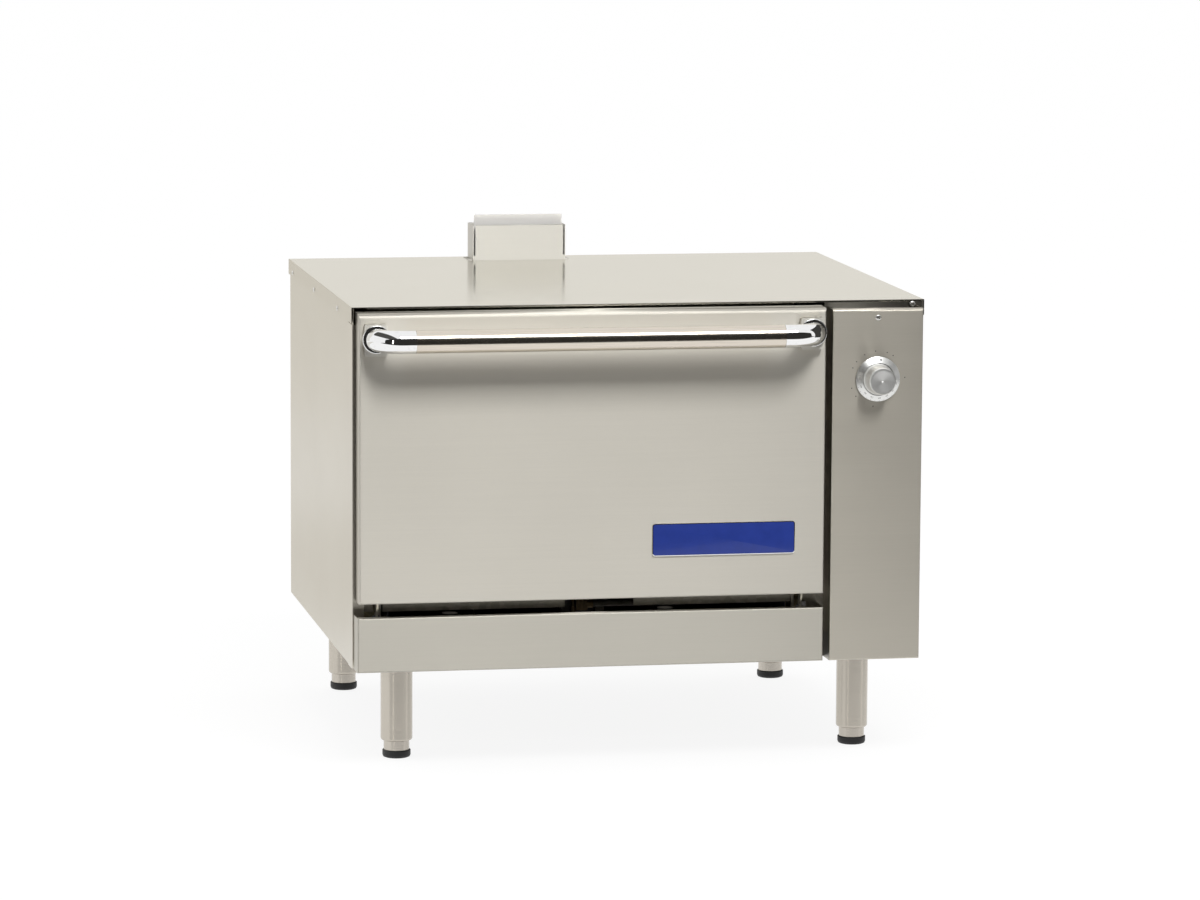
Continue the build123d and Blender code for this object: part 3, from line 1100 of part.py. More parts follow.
def door_spring(hinge_x, side):
    """Closed-wound balance spring drawn as its sleeve, with a ring in the lever and a screwed lower end."""
    x = lever_middle(hinge_x, side)
    y, ring_z = spring_line()
    foot = spring_foot_z()
    body = (foot + 8, ring_z - HOOK_R - 3)
    sleeve = rod((x, y, body[0]), (x, y, body[1]), SPRING_R) - rod((x, y, body[0] + 3), (x, y, body[1] - 3), SPRING_R - 2 * SPRING_WIRE_R)
    neck = rod((x, y, body[1] - 1), (x, y, ring_z - HOOK_R + 0.5), SPRING_WIRE_R)
    ring = Pos(x, y, ring_z) * Rot(90, 0, 0) * Torus(HOOK_R, SPRING_WIRE_R)
    stud = rod((x, y, foot - SPRING_TAB_T - 5), (x, y, body[0] + 1), SPRING_WIRE_R + 0.9)
    nut = rod((x, y, foot - SPRING_TAB_T - 4.3), (x, y, foot - SPRING_TAB_T - SEAM), 4.5)
    return sleeve + neck + ring + stud + nut


def hinge_cut(hinge_x, side):
    """Opening in the door round the horn, the lever and the pin's plates."""
    back = -DOOR_BACK + 1
    nose = HINGE_Z + HORN_NOSE_R + SLOT_CLEAR
    return slab(slot_span(hinge_x, side), (HINGE_Y - HORN_NOSE_R - SLOT_CLEAR, back), (DOOR_Z - 1, nose))


def door_outer_shell():
    """Outer skin of the door with a rounded top edge, slotted below for the hinges."""
    back = -DOOR_BACK - SHEET
    shell = front_pan((DOOR_L, DOOR_R), (-PROUD, back), (DOOR_Z, DOOR_TOP), SHEET, DOOR_TOP_BEND, EDGE_BEND)
    for hinge in HINGES:
        shell -= hinge_cut(*hinge)
    for x, z in handle_screw_points():
        shell -= rod((x, -PROUD - 1, z), (x, -PROUD + 3, z), HANDLE_SCREW_R + RUNNING)
    return shell


def door_inner_panel():
    """Enamelled pan that closes the back of the door, its flanges inside the outer skin."""
    y = (-DOOR_BACK - SHEET, -DOOR_BACK)
    gap = SHEET + SEAM
    x = (DOOR_L + gap, DOOR_R - gap)
    z = (DOOR_Z + gap, DOOR_TOP - gap)
    front = y[0] - DOOR_PAN_FLANGE
    inner = (x[0] + SHEET, x[1] - SHEET), (z[0] + SHEET, z[1] - SHEET)
    pan = slab(x, (front, y[1]), z) - slab(inner[0], (front - 1, y[0]), inner[1])
    pan += slab((DOOR_L, DOOR_R), y, (DOOR_Z, DOOR_TOP - DOOR_TOP_BEND / 2))
    for hinge in HINGES:
        pan -= hinge_cut(*hinge)
    return pan


def door_insulation():
    """Blanket that fills the door above its hinges, with pockets for the handle's bolts."""
    gap = 2 * SHEET + 2 * SEAM
    y = (-PROUD + SHEET + SEAM, -DOOR_BACK - SHEET - SEAM)
    pad = slab((DOOR_L + gap, DOOR_R - gap), y, (DOOR_Z + DOOR_INSULATION_CLEAR, DOOR_TOP - DOOR_TOP_BEND))
    for x, z in handle_screw_points():
        pad -= rod((x, y[0] - 1, z), (x, y[0] + 12, z), 3 * HANDLE_SCREW_R)
    return pad


def door_gasket():
    """Seal strip round the oven mouth, on the door's inner panel."""
    y = (-DOOR_BACK, -SEAM)
    inner_x = (CAVITY_L - GASKET_MARGIN, CAVITY_R + GASKET_MARGIN)
    inner_z = (DECK_Z - GASKET_MARGIN, CAVITY_TOP + GASKET_MARGIN)
    outer_x = (inner_x[0] - GASKET_W, inner_x[1] + GASKET_W)
    outer_z = (inner_z[0] - GASKET_W, inner_z[1] + GASKET_W)
    ring = slab(outer_x, y, outer_z)
    ring = fillet(ring.edges().filter_by(Axis.Y), GASKET_W * 1.6)
    return ring - slab(inner_x, (y[0] - 1, y[1] + 1), inner_z)


def handle_screw_points():
    """Bolts of the handle's brackets through the door skin: (x, z)."""
    z = HANDLE_Z - BRACKET_DROP
    return [(x, z + side * HANDLE_SCREW_PITCH / 2) for x in HANDLE_LEGS for side in (-1, 1)]


def handle_bar():
    """Straight tube between the two elbows."""
    left, right = (x + side * ELBOW_REACH for x, side in zip(HANDLE_LEGS, (1, -1)))
    start, end = (left, HANDLE_Y, HANDLE_Z), (right, HANDLE_Y, HANDLE_Z)
    bar = rod(start, end, HANDLE_D / 2)
    return bar - rod(start, end, HANDLE_D / 2 - HANDLE_WALL)


def handle_elbow(x, side):
    """Swept elbow from the bracket's collar round to the bar, with a spigot inside the bar."""
    r = HANDLE_D / 2
    seat = -PROUD - BRACKET_T
    joint = x + side * ELBOW_REACH
    path = FilletPolyline((x, seat, HANDLE_Z), (x, HANDLE_Y, HANDLE_Z), (joint - side * JOINT_GROOVE, HANDLE_Y, HANDLE_Z), radius=ELBOW_R)
    ends = Plane(origin=path @ 0, z_dir=path % 0)
    tube = sweep(ends * Circle(r), path) - sweep(ends * Circle(r - HANDLE_WALL), path)
    spigot = (joint - side * 2, HANDLE_Y, HANDLE_Z), (joint + side * 12, HANDLE_Y, HANDLE_Z)
    plug = rod(*spigot, r - HANDLE_WALL - RUNNING) - rod(*spigot, r - 2 * HANDLE_WALL)
    web = rod((joint - side * 4, HANDLE_Y, HANDLE_Z), (joint - side * 2, HANDLE_Y, HANDLE_Z), r - HANDLE_WALL / 2)
    collar = rod((x, seat, HANDLE_Z), (x, seat - COLLAR_T, HANDLE_Z), COLLAR_D / 2)
    edges = collar.edges().filter_by(GeomType.CIRCLE)
    collar = fillet(edges, 1.5) - rod((x, seat + 1, HANDLE_Z), (x, seat - COLLAR_T - 1, HANDLE_Z), r - 0.5)
    return tube + plug + web + collar


def handle_bracket(x):
    """Square-cornered block on the door skin that carries one end of the handle, with its bolts' holes."""
    z = HANDLE_Z - BRACKET_DROP
    half_w, half_h = BRACKET_W / 2, BRACKET_H / 2
    face = Pos(x, z) * RectangleRounded(BRACKET_W, BRACKET_H, BRACKET_CORNER_R)
    block = in_xz(face, -PROUD - BRACKET_T, BRACKET_T)
    for screw_x, screw_z in handle_screw_points():
        if abs(screw_x - x) < half_w and abs(screw_z - z) < half_h:
            block -= rod((screw_x, -PROUD + 1, screw_z), (screw_x, -PROUD - BRACKET_T * 0.7, screw_z), HANDLE_SCREW_R)
    return block


def handle_screw(x, z):
    """Hex bolt from inside the door into the handle's bracket."""
    inside = -PROUD + SHEET
    shank = rod((x, inside + 1, z), (x, -PROUD - BRACKET_T * 0.6, z), HANDLE_SCREW_R)
    head = in_xz(Pos(x, z) * RegularPolygon(HANDLE_SCREW_R * 1.7, 6), inside, 5)
    return shank + head


def leg_tube(x, y):
    """Polished leg with a flat cap and stud above, a swaged lower end and a threaded bush inside."""
    r = LEG_D / 2
    bore = STEM_D / 2 + RUNNING
    top = BASE_Z + SHEET
    outer = Pos(x, y, 0) * extrude(Pos(0, 0, LEG_END_Z) * Circle(r), top - LEG_END_Z)
    outer = fillet(outer.edges().sort_by(Axis.Z)[0], LEG_SWAGE_R)
    hollow = rod((x, y, LEG_END_Z + 5), (x, y, top - 3), r - LEG_WALL)
    mouth = rod((x, y, LEG_END_Z - 1), (x, y, LEG_END_Z + 6), bore)
    bush = rod((x, y, BUSH_Z), (x, y, BUSH_Z + BUSH_T), r - LEG_WALL / 2) - rod((x, y, BUSH_Z - 1), (x, y, BUSH_Z + BUSH_T + 1), ROD_R + RUNNING)
    stud = rod((x, y, top - 1), (x, y, BASE_Z + NUT_H + 6), STUD_R)
    return outer - hollow - mouth + bush + stud


def foot_stem(x, y):
    """Round stem that screws up and down in the leg, with its threaded rod."""
    stem = rod((x, y, PAD_H), (x, y, STEM_TOP_Z), STEM_D / 2)
    return stem + rod((x, y, STEM_TOP_Z - 1), (x, y, ROD_TOP_Z), ROD_R)


def foot_pad(x, y):
    """Moulded pad under the stem, turned with a rounded edge at the floor and a small one above."""
    r, bevel = PAD_D / 2, PAD_R * 0.3
    profile = [(0, 0), (r - PAD_R, 0), (r - bevel, bevel), (r, PAD_R), (r, PAD_H - bevel), (r - bevel, PAD_H), (0, PAD_H)]
    face = make_face(Polyline(*[(radius, 0, z) for radius, z in profile], close=True))
    return Pos(x, y, 0) * revolve(face, Axis.Z)


def build():
    os.makedirs("parts", exist_ok=True)
    save("top_panel", top_panel())
    save("left_side_panel", side_panel(-1))
    save("right_side_panel", side_panel(1))
    save("top_panel_screws", *top_screws())
    save("back_panel", back_panel())
    save("base_frame", base_frame())
    save("control_partition", control_partition())
    save("front_frame", front_frame())
    save("kick_panel", kick_panel())
    save("control_panel", control_panel())
    save("control_bracket", control_bracket())
    save("control_screws", *control_screws())
    save("flue_riser", flue_riser())
    save("flue_front_plate", flue_front_plate())
    save("flue_baffle", flue_baffle())
    save("oven_liner", oven_liner())
    save("oven_deck", oven_deck())
    save("rack_guides", rack_guide(-1), rack_guide(1))
    save("oven_rack", oven_rack())
    save("oven_insulation", *oven_insulation())
    save("thermostat_bulb", thermostat_bulb())
    save("burner_box_floor", burner_box_floor())
    save("burner", burner())
    save("air_shutter", air_shutter())
    save("burner_baffle", burner_baffle())
    save("orifice_fitting", orifice_fitting())
    save("burner_supply_tube", burner_supply_tube())
    save("pilot_burner", pilot_burner())
    save("thermocouple", thermocouple())
    save("thermostat_body", thermostat_body())
    save("thermostat_shaft", thermostat_shaft())
    save("knob_dial", knob_dial())
    save("knob_grip", knob_grip())
    save("safety_valve", safety_valve())
    save("safety_valve_button", safety_valve_button())
    save("gas_inlet_pipe", gas_inlet_pipe())
    save("valve_feed_tube", valve_feed_tube())
    save("hinge_horns", *[hinge_horn(x) for x, _ in HINGES])
    save("hinge_levers", *[hinge_lever(*hinge) for hinge in HINGES])
    save("hinge_pins", *[hinge_pin(*hinge) for hinge in HINGES])
    save("door_springs", *[door_spring(*hinge) for hinge in HINGES])
    save("door_outer_shell", door_outer_shell())
    save("door_inner_panel", door_inner_panel())
    save("door_insulation", door_insulation())
    save("door_gasket", door_gasket())
    save("handle_bar", handle_bar())
    save("handle_elbows", *[handle_elbow(x, side) for x, side in zip(HANDLE_LEGS, (1, -1))])
    save("handle_brackets", *[handle_bracket(x) for x in HANDLE_LEGS])
    save("handle_screws", *[handle_screw(x, z) for x, z in handle_screw_points()])
    save("leg_tubes", *[leg_tube(x, y) for x, y in LEGS.values()])
    for name, (x, y) in LEGS.items():
        save(f"{name}_foot_stem", foot_stem(x, y))
        save(f"{name}_foot_pad", foot_pad(x, y))


build()
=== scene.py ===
"""Low gas oven on four legs in a white studio.

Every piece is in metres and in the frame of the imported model: x to the oven's right, y to its back,
z up from the floor. Sizes of added pieces are fields of the class that builds them, and their places
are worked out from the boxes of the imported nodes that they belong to.
"""

import logging
import math
from dataclasses import dataclass
from enum import Enum
from typing import Sequence

import bmesh
import bpy
import numpy as np
from mathutils import Matrix, Vector

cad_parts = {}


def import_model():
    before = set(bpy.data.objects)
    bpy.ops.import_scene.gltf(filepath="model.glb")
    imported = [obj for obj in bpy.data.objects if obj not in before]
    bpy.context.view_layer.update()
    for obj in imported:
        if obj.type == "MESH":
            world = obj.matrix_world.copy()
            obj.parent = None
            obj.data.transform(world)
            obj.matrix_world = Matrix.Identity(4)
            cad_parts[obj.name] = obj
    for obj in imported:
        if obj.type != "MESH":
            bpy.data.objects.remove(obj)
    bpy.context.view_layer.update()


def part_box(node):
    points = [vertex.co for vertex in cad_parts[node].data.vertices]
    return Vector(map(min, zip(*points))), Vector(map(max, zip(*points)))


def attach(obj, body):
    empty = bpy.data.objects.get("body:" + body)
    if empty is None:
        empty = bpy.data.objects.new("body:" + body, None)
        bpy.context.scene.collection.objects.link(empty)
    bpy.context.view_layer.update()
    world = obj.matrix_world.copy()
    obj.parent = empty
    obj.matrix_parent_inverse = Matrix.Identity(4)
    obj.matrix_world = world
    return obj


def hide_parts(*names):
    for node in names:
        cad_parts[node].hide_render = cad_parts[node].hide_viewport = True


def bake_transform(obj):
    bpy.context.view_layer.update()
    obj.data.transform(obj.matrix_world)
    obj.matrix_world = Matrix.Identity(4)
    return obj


LOG = logging.getLogger("oven")
Colour = tuple[float, float, float]
Point = Sequence[float]
MM = 0.001


class Axis(Enum):
    """Direction that the grain of a sheet or tube runs in."""

    X = 0
    Y = 1
    Z = 2

    def scale(self, across: float, along: float) -> list[float]:
        """Scale of a noise that is stretched along this axis."""
        return [along if index == self.value else across for index in range(3)]


# Shader expressions


class Value:
    """A node's output socket, on which arithmetic adds Math nodes."""

    def __init__(self, graph: "Graph", socket: bpy.types.NodeSocket) -> None:
        """Wrap a socket of the graph."""
        self.graph = graph
        self.socket = socket

    def __add__(self, other: "Value | float") -> "Value":
        """Sum of two values."""
        return self.graph.math("ADD", self, other)

    def __sub__(self, other: "Value | float") -> "Value":
        """Difference of two values."""
        return self.graph.math("SUBTRACT", self, other)

    def __rsub__(self, other: float) -> "Value":
        """A number less this value."""
        return self.graph.math("SUBTRACT", other, self)

    def __mul__(self, other: "Value | float") -> "Value":
        """Product of two values."""
        return self.graph.math("MULTIPLY", self, other)

    def __pow__(self, other: float) -> "Value":
        """This value raised to a power."""
        return self.graph.math("POWER", self, other)

    __radd__ = __add__
    __rmul__ = __mul__

    def sine(self) -> "Value":
        """Sine of this value in radians."""
        return self.graph.math("SINE", self)

    def step(self, low: float, high: float) -> "Value":
        """Smooth step of this value, from 0 at low to 1 at high."""
        sockets = {"Value": self, "From Min": low, "From Max": high}
        return self.graph.node("ShaderNodeMapRange", sockets, {"interpolation_type": "SMOOTHSTEP"})


class Graph:
    """Node tree of a material or the world, written as expressions."""

    def __init__(self, tree: bpy.types.NodeTree) -> None:
        """Keep the tree, emptied."""
        self.tree = tree
        tree.nodes.clear()

    def node(self, kind: str, sockets: dict | None = None, settings: dict | None = None,
             output: int | str = 0) -> Value:
        """Add one node.

        Args:
            kind: the node's type name.
            sockets: what each input holds, by name or number: a number, a colour or a Value.
            settings: the node's attributes, set first.
            output: the output that is returned, by name or number.

        Returns:
            The chosen output.
        """
        added = self.tree.nodes.new(kind)
        for name, setting in (settings or {}).items():
            setattr(added, name, setting)
        for name, held in (sockets or {}).items():
            self.feed(added.inputs[name], held)
        return Value(self, added.outputs[output])

    def feed(self, socket: bpy.types.NodeSocket, held: Value | float | Point) -> None:
        """Link a Value to a socket, or set the socket's own value.

        Args:
            socket: the input to fill.
            held: a Value, a number, a vector or a colour without alpha.
        """
        if isinstance(held, Value):
            self.tree.links.new(held.socket, socket)
        elif socket.type == "RGBA":
            socket.default_value = (*held, 1)
        else:
            socket.default_value = held

    def math(self, operation: str, *terms: Value | float) -> Value:
        """Math node on one or two numbers or values."""
        return self.node("ShaderNodeMath", dict(enumerate(terms)), {"operation": operation})

    def place(self, scale: float | Point = 1.0, centre: Point = (0, 0, 0)) -> Value:
        """Object coordinates moved so that centre is the origin, then scaled.

        Args:
            scale: pattern units per metre, the same all round or along x, y and z.
            centre: point that becomes the origin, in metres.

        Returns:
            The mapped vector.
        """
        scale = np.broadcast_to(scale, 3).tolist()
        shift = [-c * s for c, s in zip(centre, scale)]
        coordinates = self.node("ShaderNodeTexCoord", output="Object")
        return self.node("ShaderNodeMapping", {"Vector": coordinates, "Location": shift, "Scale": scale})

    def xyz(self, centre: Point = (0, 0, 0)) -> tuple[Value, ...]:
        """Object x, y and z, measured from a centre."""
        split = self.node("ShaderNodeSeparateXYZ", {0: self.place(centre=centre)}).socket.node
        return tuple(Value(self, output) for output in split.outputs)

    def noise(self, scale: float | Point, detail: float, roughness: float,
              centre: Point = (0, 0, 0)) -> Value:
        """Fractal noise from 0 to 1, mostly near one half.

        Args:
            scale: noise cells per metre, the same all round or along x, y and z.
            detail: how many finer layers it has.
            roughness: how strong the finer layers are.
            centre: point that the pattern starts from, in metres.

        Returns:
            The noise value.
        """
        vector = self.place(scale, centre)
        return self.node("ShaderNodeTexNoise",
                         {"Vector": vector, "Scale": 1.0, "Detail": detail, "Roughness": roughness})

    def cells(self, scale: float, output: str = "Distance") -> Value:
        """Voronoi cells per metre: the distance to their points, or a colour for each."""
        return self.node("ShaderNodeTexVoronoi", {"Vector": self.place(), "Scale": scale}, output=output)

    def blend(self, factor: Value | float, low: Value | Colour, high: Value | Colour) -> Value:
        """Colour mix: low where the factor is 0, and high where it is 1."""
        return self.node("ShaderNodeMix", {0: factor, 6: low, 7: high}, {"data_type": "RGBA"}, 2)

    def surface(self, colour: Value, rough: Value | float, relief: tuple[Value, float, float],
                metal: float = 0.0, **more: Value | float) -> None:
        """Principled shader to the material's output.

        Args:
            colour: the base colour.
            rough: the roughness.
            relief: height pattern from 0 to 1, the bump's strength, and the pattern's height in metres.
            metal: how metallic the surface is.
            more: the shader's other inputs, such as coat_weight.
        """
        bump = dict(zip(("Height", "Strength", "Distance"), relief))
        sockets = {"Base Color": colour, "Metallic": metal, "Roughness": rough,
                   "Normal": self.node("ShaderNodeBump", bump)}
        sockets |= {name.replace("_", " ").title(): held for name, held in more.items()}
        self.out(self.node("ShaderNodeBsdfPrincipled", sockets))

    def out(self, shader: Value, kind: str = "Material") -> None:
        """Link a shader to a new output, of the material or of the world."""
        output = self.tree.nodes.new(f"ShaderNodeOutput{kind}")
        self.tree.links.new(shader.socket, output.inputs["Surface"])


def shade(colour: Colour, factor: float) -> Colour:
    """A colour times a factor, kept at or below 1."""
    return tuple(min(1.0, c * factor) for c in colour)


# Finishes


@dataclass(frozen=True)
class Finish:
    """A named surface that makes its own material."""

    name: str

    def material(self) -> bpy.types.Material:
        """Make the material, or return it if it is there already."""
        found = bpy.data.materials.get(self.name)
        if found:
            return found
        made = bpy.data.materials.new(self.name)
        made.use_nodes = True
        self.write(Graph(made.node_tree))
        return made

    def write(self, graph: Graph) -> None:
        """Write the finish's nodes into a graph."""
        raise NotImplementedError


@dataclass(frozen=True)
class BrushedSteel(Finish):
    """Stainless steel with a straight grain, faint cloudy patches and wiped smears.

    Where a darker colour is given, it is painted shade on the sheet's turned-down sides, beyond flange_x on
    both sides of the oven.
    """

    colour: Colour = (0.66, 0.64, 0.58)
    roughness: float = 0.34
    grain: Axis = Axis.X
    contrast: float = 0.04
    relief: float = 0.04
    spread: float = 0.0
    shaded_flange: Colour | None = None
    flange_x: float = 0.4565
    flange_dulling: float = 0.18

    def write(self, graph: Graph) -> None:
        """Streaks are noise stretched along the grain, and patches are wide noise in colour and gloss.

        Args:
            graph: the material's graph.
        """
        streaks = graph.noise(self.grain.scale(420, 5), 5, 0.72)
        scratches = graph.noise(self.grain.scale(1260, 75), 3, 0.6, (0.3, 0.1, 0.2))
        patches = graph.noise(2.6, 4, 0.5)
        wiped = graph.noise((9, 9, 14), 3, 0.6, (0.7, 0.2, 0.4))
        tone = streaks * 0.35 + scratches * 0.15 + patches * 0.5
        rough = self.roughness + (streaks - 0.5) * 0.05 + (wiped - 0.5) * 0.05
        colour = self.toned(graph, tone, self.colour)
        # Painted shade: beyond flange_x the sheet's turned-down sides take the darker colour.
        if self.shaded_flange:
            beyond = graph.math("GREATER_THAN", graph.math("ABSOLUTE", graph.xyz()[0]), self.flange_x)
            colour = graph.blend(beyond, colour, self.toned(graph, tone, self.shaded_flange))
            rough = rough + beyond * self.flange_dulling
        graph.surface(colour, rough, (streaks, self.relief, 0.00006), 1.0,
                      anisotropic=self.spread, anisotropic_rotation=0.25)

    def toned(self, graph: Graph, tone: Value, colour: Colour) -> Value:
        """The colour made darker and lighter by the finish's contrast, where tone is 0.3 and 0.7."""
        dark, light = shade(colour, 1 - self.contrast), shade(colour, 1 + self.contrast)
        return graph.blend(tone.step(0.3, 0.7), dark, light)


@dataclass(frozen=True)
class PolishedSteel(Finish):
    """Tube or plate polished along its length, with fine lines and light handling marks."""

    colour: Colour = (0.74, 0.73, 0.70)
    roughness: float = 0.16
    grain: Axis = Axis.X
    marks: float = 0.05
    spread: float = 0.0

    def write(self, graph: Graph) -> None:
        """Fine lines run along the grain, and soft smears change the gloss.

        Args:
            graph: the material's graph.
        """
        lines = graph.noise(self.grain.scale(900, 14), 4, 0.65)
        smears = graph.noise(24, 4, 0.6)
        colour = graph.blend(lines.step(0.3, 0.7), shade(self.colour, 0.93), shade(self.colour, 1.05))
        rough = self.roughness + (lines - 0.5) * self.marks + (smears - 0.5) * self.marks
        graph.surface(colour, rough, (lines, 0.04, 0.00004), 1.0,
                      anisotropic=self.spread, anisotropic_rotation=0.25)


@dataclass(frozen=True)
class ChromePlate(Finish):
    """Bright plate with a faint ripple from the polished metal under it."""

    colour: Colour = (0.86, 0.86, 0.86)
    roughness: float = 0.035

    def write(self, graph: Graph) -> None:
        """A slow ripple tilts the surface, and fingermarks dull small spots.

        Args:
            graph: the material's graph.
        """
        ripple = graph.noise(55, 2, 0.5)
        spots = graph.noise(160, 3, 0.6).step(0.52, 0.75)
        colour = graph.blend(spots, self.colour, shade(self.colour, 0.95))
        graph.surface(colour, self.roughness + spots * 0.04, (ripple, 0.02, 0.0004), 1.0)


@dataclass(frozen=True)
class SpunMetal(Finish):
    """Metal turned on a lathe: fine rings round an axis along y."""

    colour: Colour = (0.80, 0.80, 0.79)
    roughness: float = 0.22
    centre: Point = (0, 0, 0)
    pitch: float = 0.6 * MM

    def write(self, graph: Graph) -> None:
        """The distance from the axis drives rings, which noise makes uneven.

        Args:
            graph: the material's graph.
        """
        x, _, z = graph.xyz(self.centre)
        radius = (x * x + z * z) ** 0.5
        wobble = graph.noise(40, 2, 0.5)
        rings = ((radius * (2 * math.pi / self.pitch) + wobble * 5).sine() + 1) * 0.5
        worn = graph.noise(210, 4, 0.6)
        colour = graph.blend(rings * 0.5 + worn * 0.5, shade(self.colour, 0.90), shade(self.colour, 1.05))
        graph.surface(colour, self.roughness + (worn - 0.5) * 0.1, (rings, 0.10, 0.00006), 1.0)


@dataclass(frozen=True)
class PlainSheet(Finish):
    """Dull coated steel sheet with a spangle and rubbed patches."""

    colour: Colour = (0.46, 0.46, 0.44)
    roughness: float = 0.42
    spangle: float = 90.0

    def write(self, graph: Graph) -> None:
        """Cells of slightly different tone make the spangle, and wide noise the stains.

        Args:
            graph: the material's graph.
        """
        tint = graph.node("ShaderNodeRGBToBW", {0: graph.cells(self.spangle, "Color")})
        stain = graph.noise(7, 5, 0.6)
        tone = (tint * 0.45 + stain * 0.55).step(0.2, 0.8)
        colour = graph.blend(tone, shade(self.colour, 0.78), shade(self.colour, 1.18))
        rough = self.roughness + (tint - 0.5) * 0.14 + (stain - 0.5) * 0.15
        graph.surface(colour, rough, (stain, 0.12, 0.0004), 0.92)


@dataclass(frozen=True)
class OvenEnamel(Finish):
    """Glassy dark enamel with fine pale flecks and a slightly wavy coat."""

    colour: Colour = (0.018, 0.02, 0.026)
    fleck: Colour = (0.36, 0.37, 0.38)

    def write(self, graph: Graph) -> None:
        """Small cells near their middles are flecks, and wide noise is the wave of the fired coat.

        Args:
            graph: the material's graph.
        """
        flecks = 1 - graph.cells(620).step(0.10, 0.24)
        sparse = graph.noise(310, 2, 0.5).step(0.46, 0.62)
        baked = graph.noise(6, 4, 0.6)
        ground = graph.blend(baked, self.colour, shade(self.colour, 1.9))
        colour = graph.blend(flecks * sparse * 0.8, ground, self.fleck)
        wave = graph.noise(70, 2, 0.5)
        rough = 0.16 + baked * 0.16
        graph.surface(colour, rough, (wave, 0.12, 0.0006), coat_weight=0.35, coat_roughness=0.08)


@dataclass(frozen=True)
class CastIron(Finish):
    """Sand-cast iron with a grainy skin and a little rust at its low spots."""

    colour: Colour = (0.085, 0.08, 0.076)
    rust: Colour = (0.16, 0.085, 0.045)

    def write(self, graph: Graph) -> None:
        """Two grain sizes make the skin, and the deepest spots turn brown.

        Args:
            graph: the material's graph.
        """
        grain = graph.noise(620, 5, 0.65)
        pits = graph.noise(90, 4, 0.6)
        colour = graph.blend(grain, shade(self.colour, 0.6), shade(self.colour, 1.7))
        colour = graph.blend(pits.step(0.58, 0.72) * 0.5, colour, self.rust)
        graph.surface(colour, 0.62 + (grain - 0.5) * 0.3, (grain * 0.6 + pits * 0.4, 0.5, 0.0006), 0.55)


@dataclass(frozen=True)
class DarkPaint(Finish):
    """Heat-resistant paint or black pipe skin, slightly mottled, rubbed where it is handled.

    The skin is a noise's scale, detail and roughness. The spots are a noise's scale, where they begin and
    end in it, and how much they cover.
    """

    colour: Colour = (0.035, 0.035, 0.038)
    rubbed: Colour = (0.12, 0.12, 0.12)
    roughness: float = 0.48
    skin: tuple[float, ...] = (260, 3, 0.6)
    spots: tuple[float, ...] = (30, 0.55, 0.78, 0.7)
    lift: float = 1.6
    relief: tuple[float, float] = (0.22, 0.0003)
    metal: float = 0.15

    def write(self, graph: Graph) -> None:
        """Fine noise is the skin, and wide noise picks the rubbed or dusty spots.

        Args:
            graph: the material's graph.
        """
        skin = graph.noise(*self.skin)
        scale, start, end, cover = self.spots
        worn = graph.noise(scale, 5, 0.65).step(start, end)
        ground = graph.blend(skin, self.colour, shade(self.colour, self.lift))
        colour = graph.blend(worn * cover, ground, self.rubbed)
        graph.surface(colour, self.roughness + (skin - 0.5) * 0.2, (skin, *self.relief), self.metal)


@dataclass(frozen=True)
class Moulded(DarkPaint):
    """Moulded plastic or rubber with a fine texture and dust in it."""

    colour: Colour = (0.012, 0.012, 0.013)
    rubbed: Colour = (0.10, 0.095, 0.085)
    roughness: float = 0.5
    skin: tuple[float, ...] = (900, 2, 0.5)
    spots: tuple[float, ...] = (60, 0.5, 0.8, 0.45)
    lift: float = 1.5
    relief: tuple[float, float] = (0.2, 0.0002)
    metal: float = 0.0


@dataclass(frozen=True)
class Brass(Finish):
    """Machined brass with turned lines and a brown film."""

    colour: Colour = (0.70, 0.50, 0.22)

    def write(self, graph: Graph) -> None:
        """Fine noise gives the cut, and wide noise the film.

        Args:
            graph: the material's graph.
        """
        cut = graph.noise(Axis.Y.scale(1400, 160), 3, 0.6)
        film = graph.noise(70, 4, 0.6)
        colour = graph.blend(film.step(0.35, 0.75), self.colour, shade(self.colour, 0.55))
        graph.surface(colour, 0.24 + film * 0.22, (cut, 0.12, 0.0001), 1.0)


@dataclass(frozen=True)
class MineralWool(Finish):
    """Pale yellow mineral wool: crossing fibres and clumps, darkened in its hollows as painted shade."""

    colour: Colour = (0.70, 0.62, 0.38)

    def write(self, graph: Graph) -> None:
        """Three noises stretched along x, y and z are the fibres, and wide noise the clumps.

        Args:
            graph: the material's graph.
        """
        first, second, third = (graph.noise(axis.scale(700, 60), 4, 0.7) for axis in Axis)
        threads = (first + second + third) * (1 / 3)
        clumps = graph.noise(38, 5, 0.65)
        tone = threads * 0.6 + clumps * 0.4
        # Painted shade: the colour is darkest where the bump's height is lowest, in the hollows between
        # fibres and clumps.
        colour = graph.blend(tone.step(0.36, 0.62), shade(self.colour, 0.5), shade(self.colour, 1.15))
        graph.surface(colour, 0.95, (tone, 0.9, 0.003), sheen_weight=0.25, sheen_roughness=0.6)


@dataclass(frozen=True)
class Braid(Finish):
    """Woven heat-resistant rope: two sets of strands that cross at right angles."""

    colour: Colour = (0.30, 0.30, 0.29)
    strands: float = 340.0

    def write(self, graph: Graph) -> None:
        """Sines of x + z and x - z are the strands, and their product the over and under of the weave, whose
        low parts are darkened as painted shade.

        Args:
            graph: the material's graph.
        """
        x, y, z = graph.xyz()
        turn = 2 * math.pi * self.strands
        one = ((x + z + y * 0.4) * turn).sine()
        two = ((x - z + y * 0.4) * turn).sine()
        height = (one * two + 1) * 0.5 * 0.75 + graph.noise(1500, 3, 0.6) * 0.25
        # Painted shade: the weave is darker where its height is low, between and under the strands.
        colour = graph.blend(height, shade(self.colour, 0.35), shade(self.colour, 1.3))
        graph.surface(colour, 0.85, (height, 0.8, 0.0007), sheen_weight=0.15)


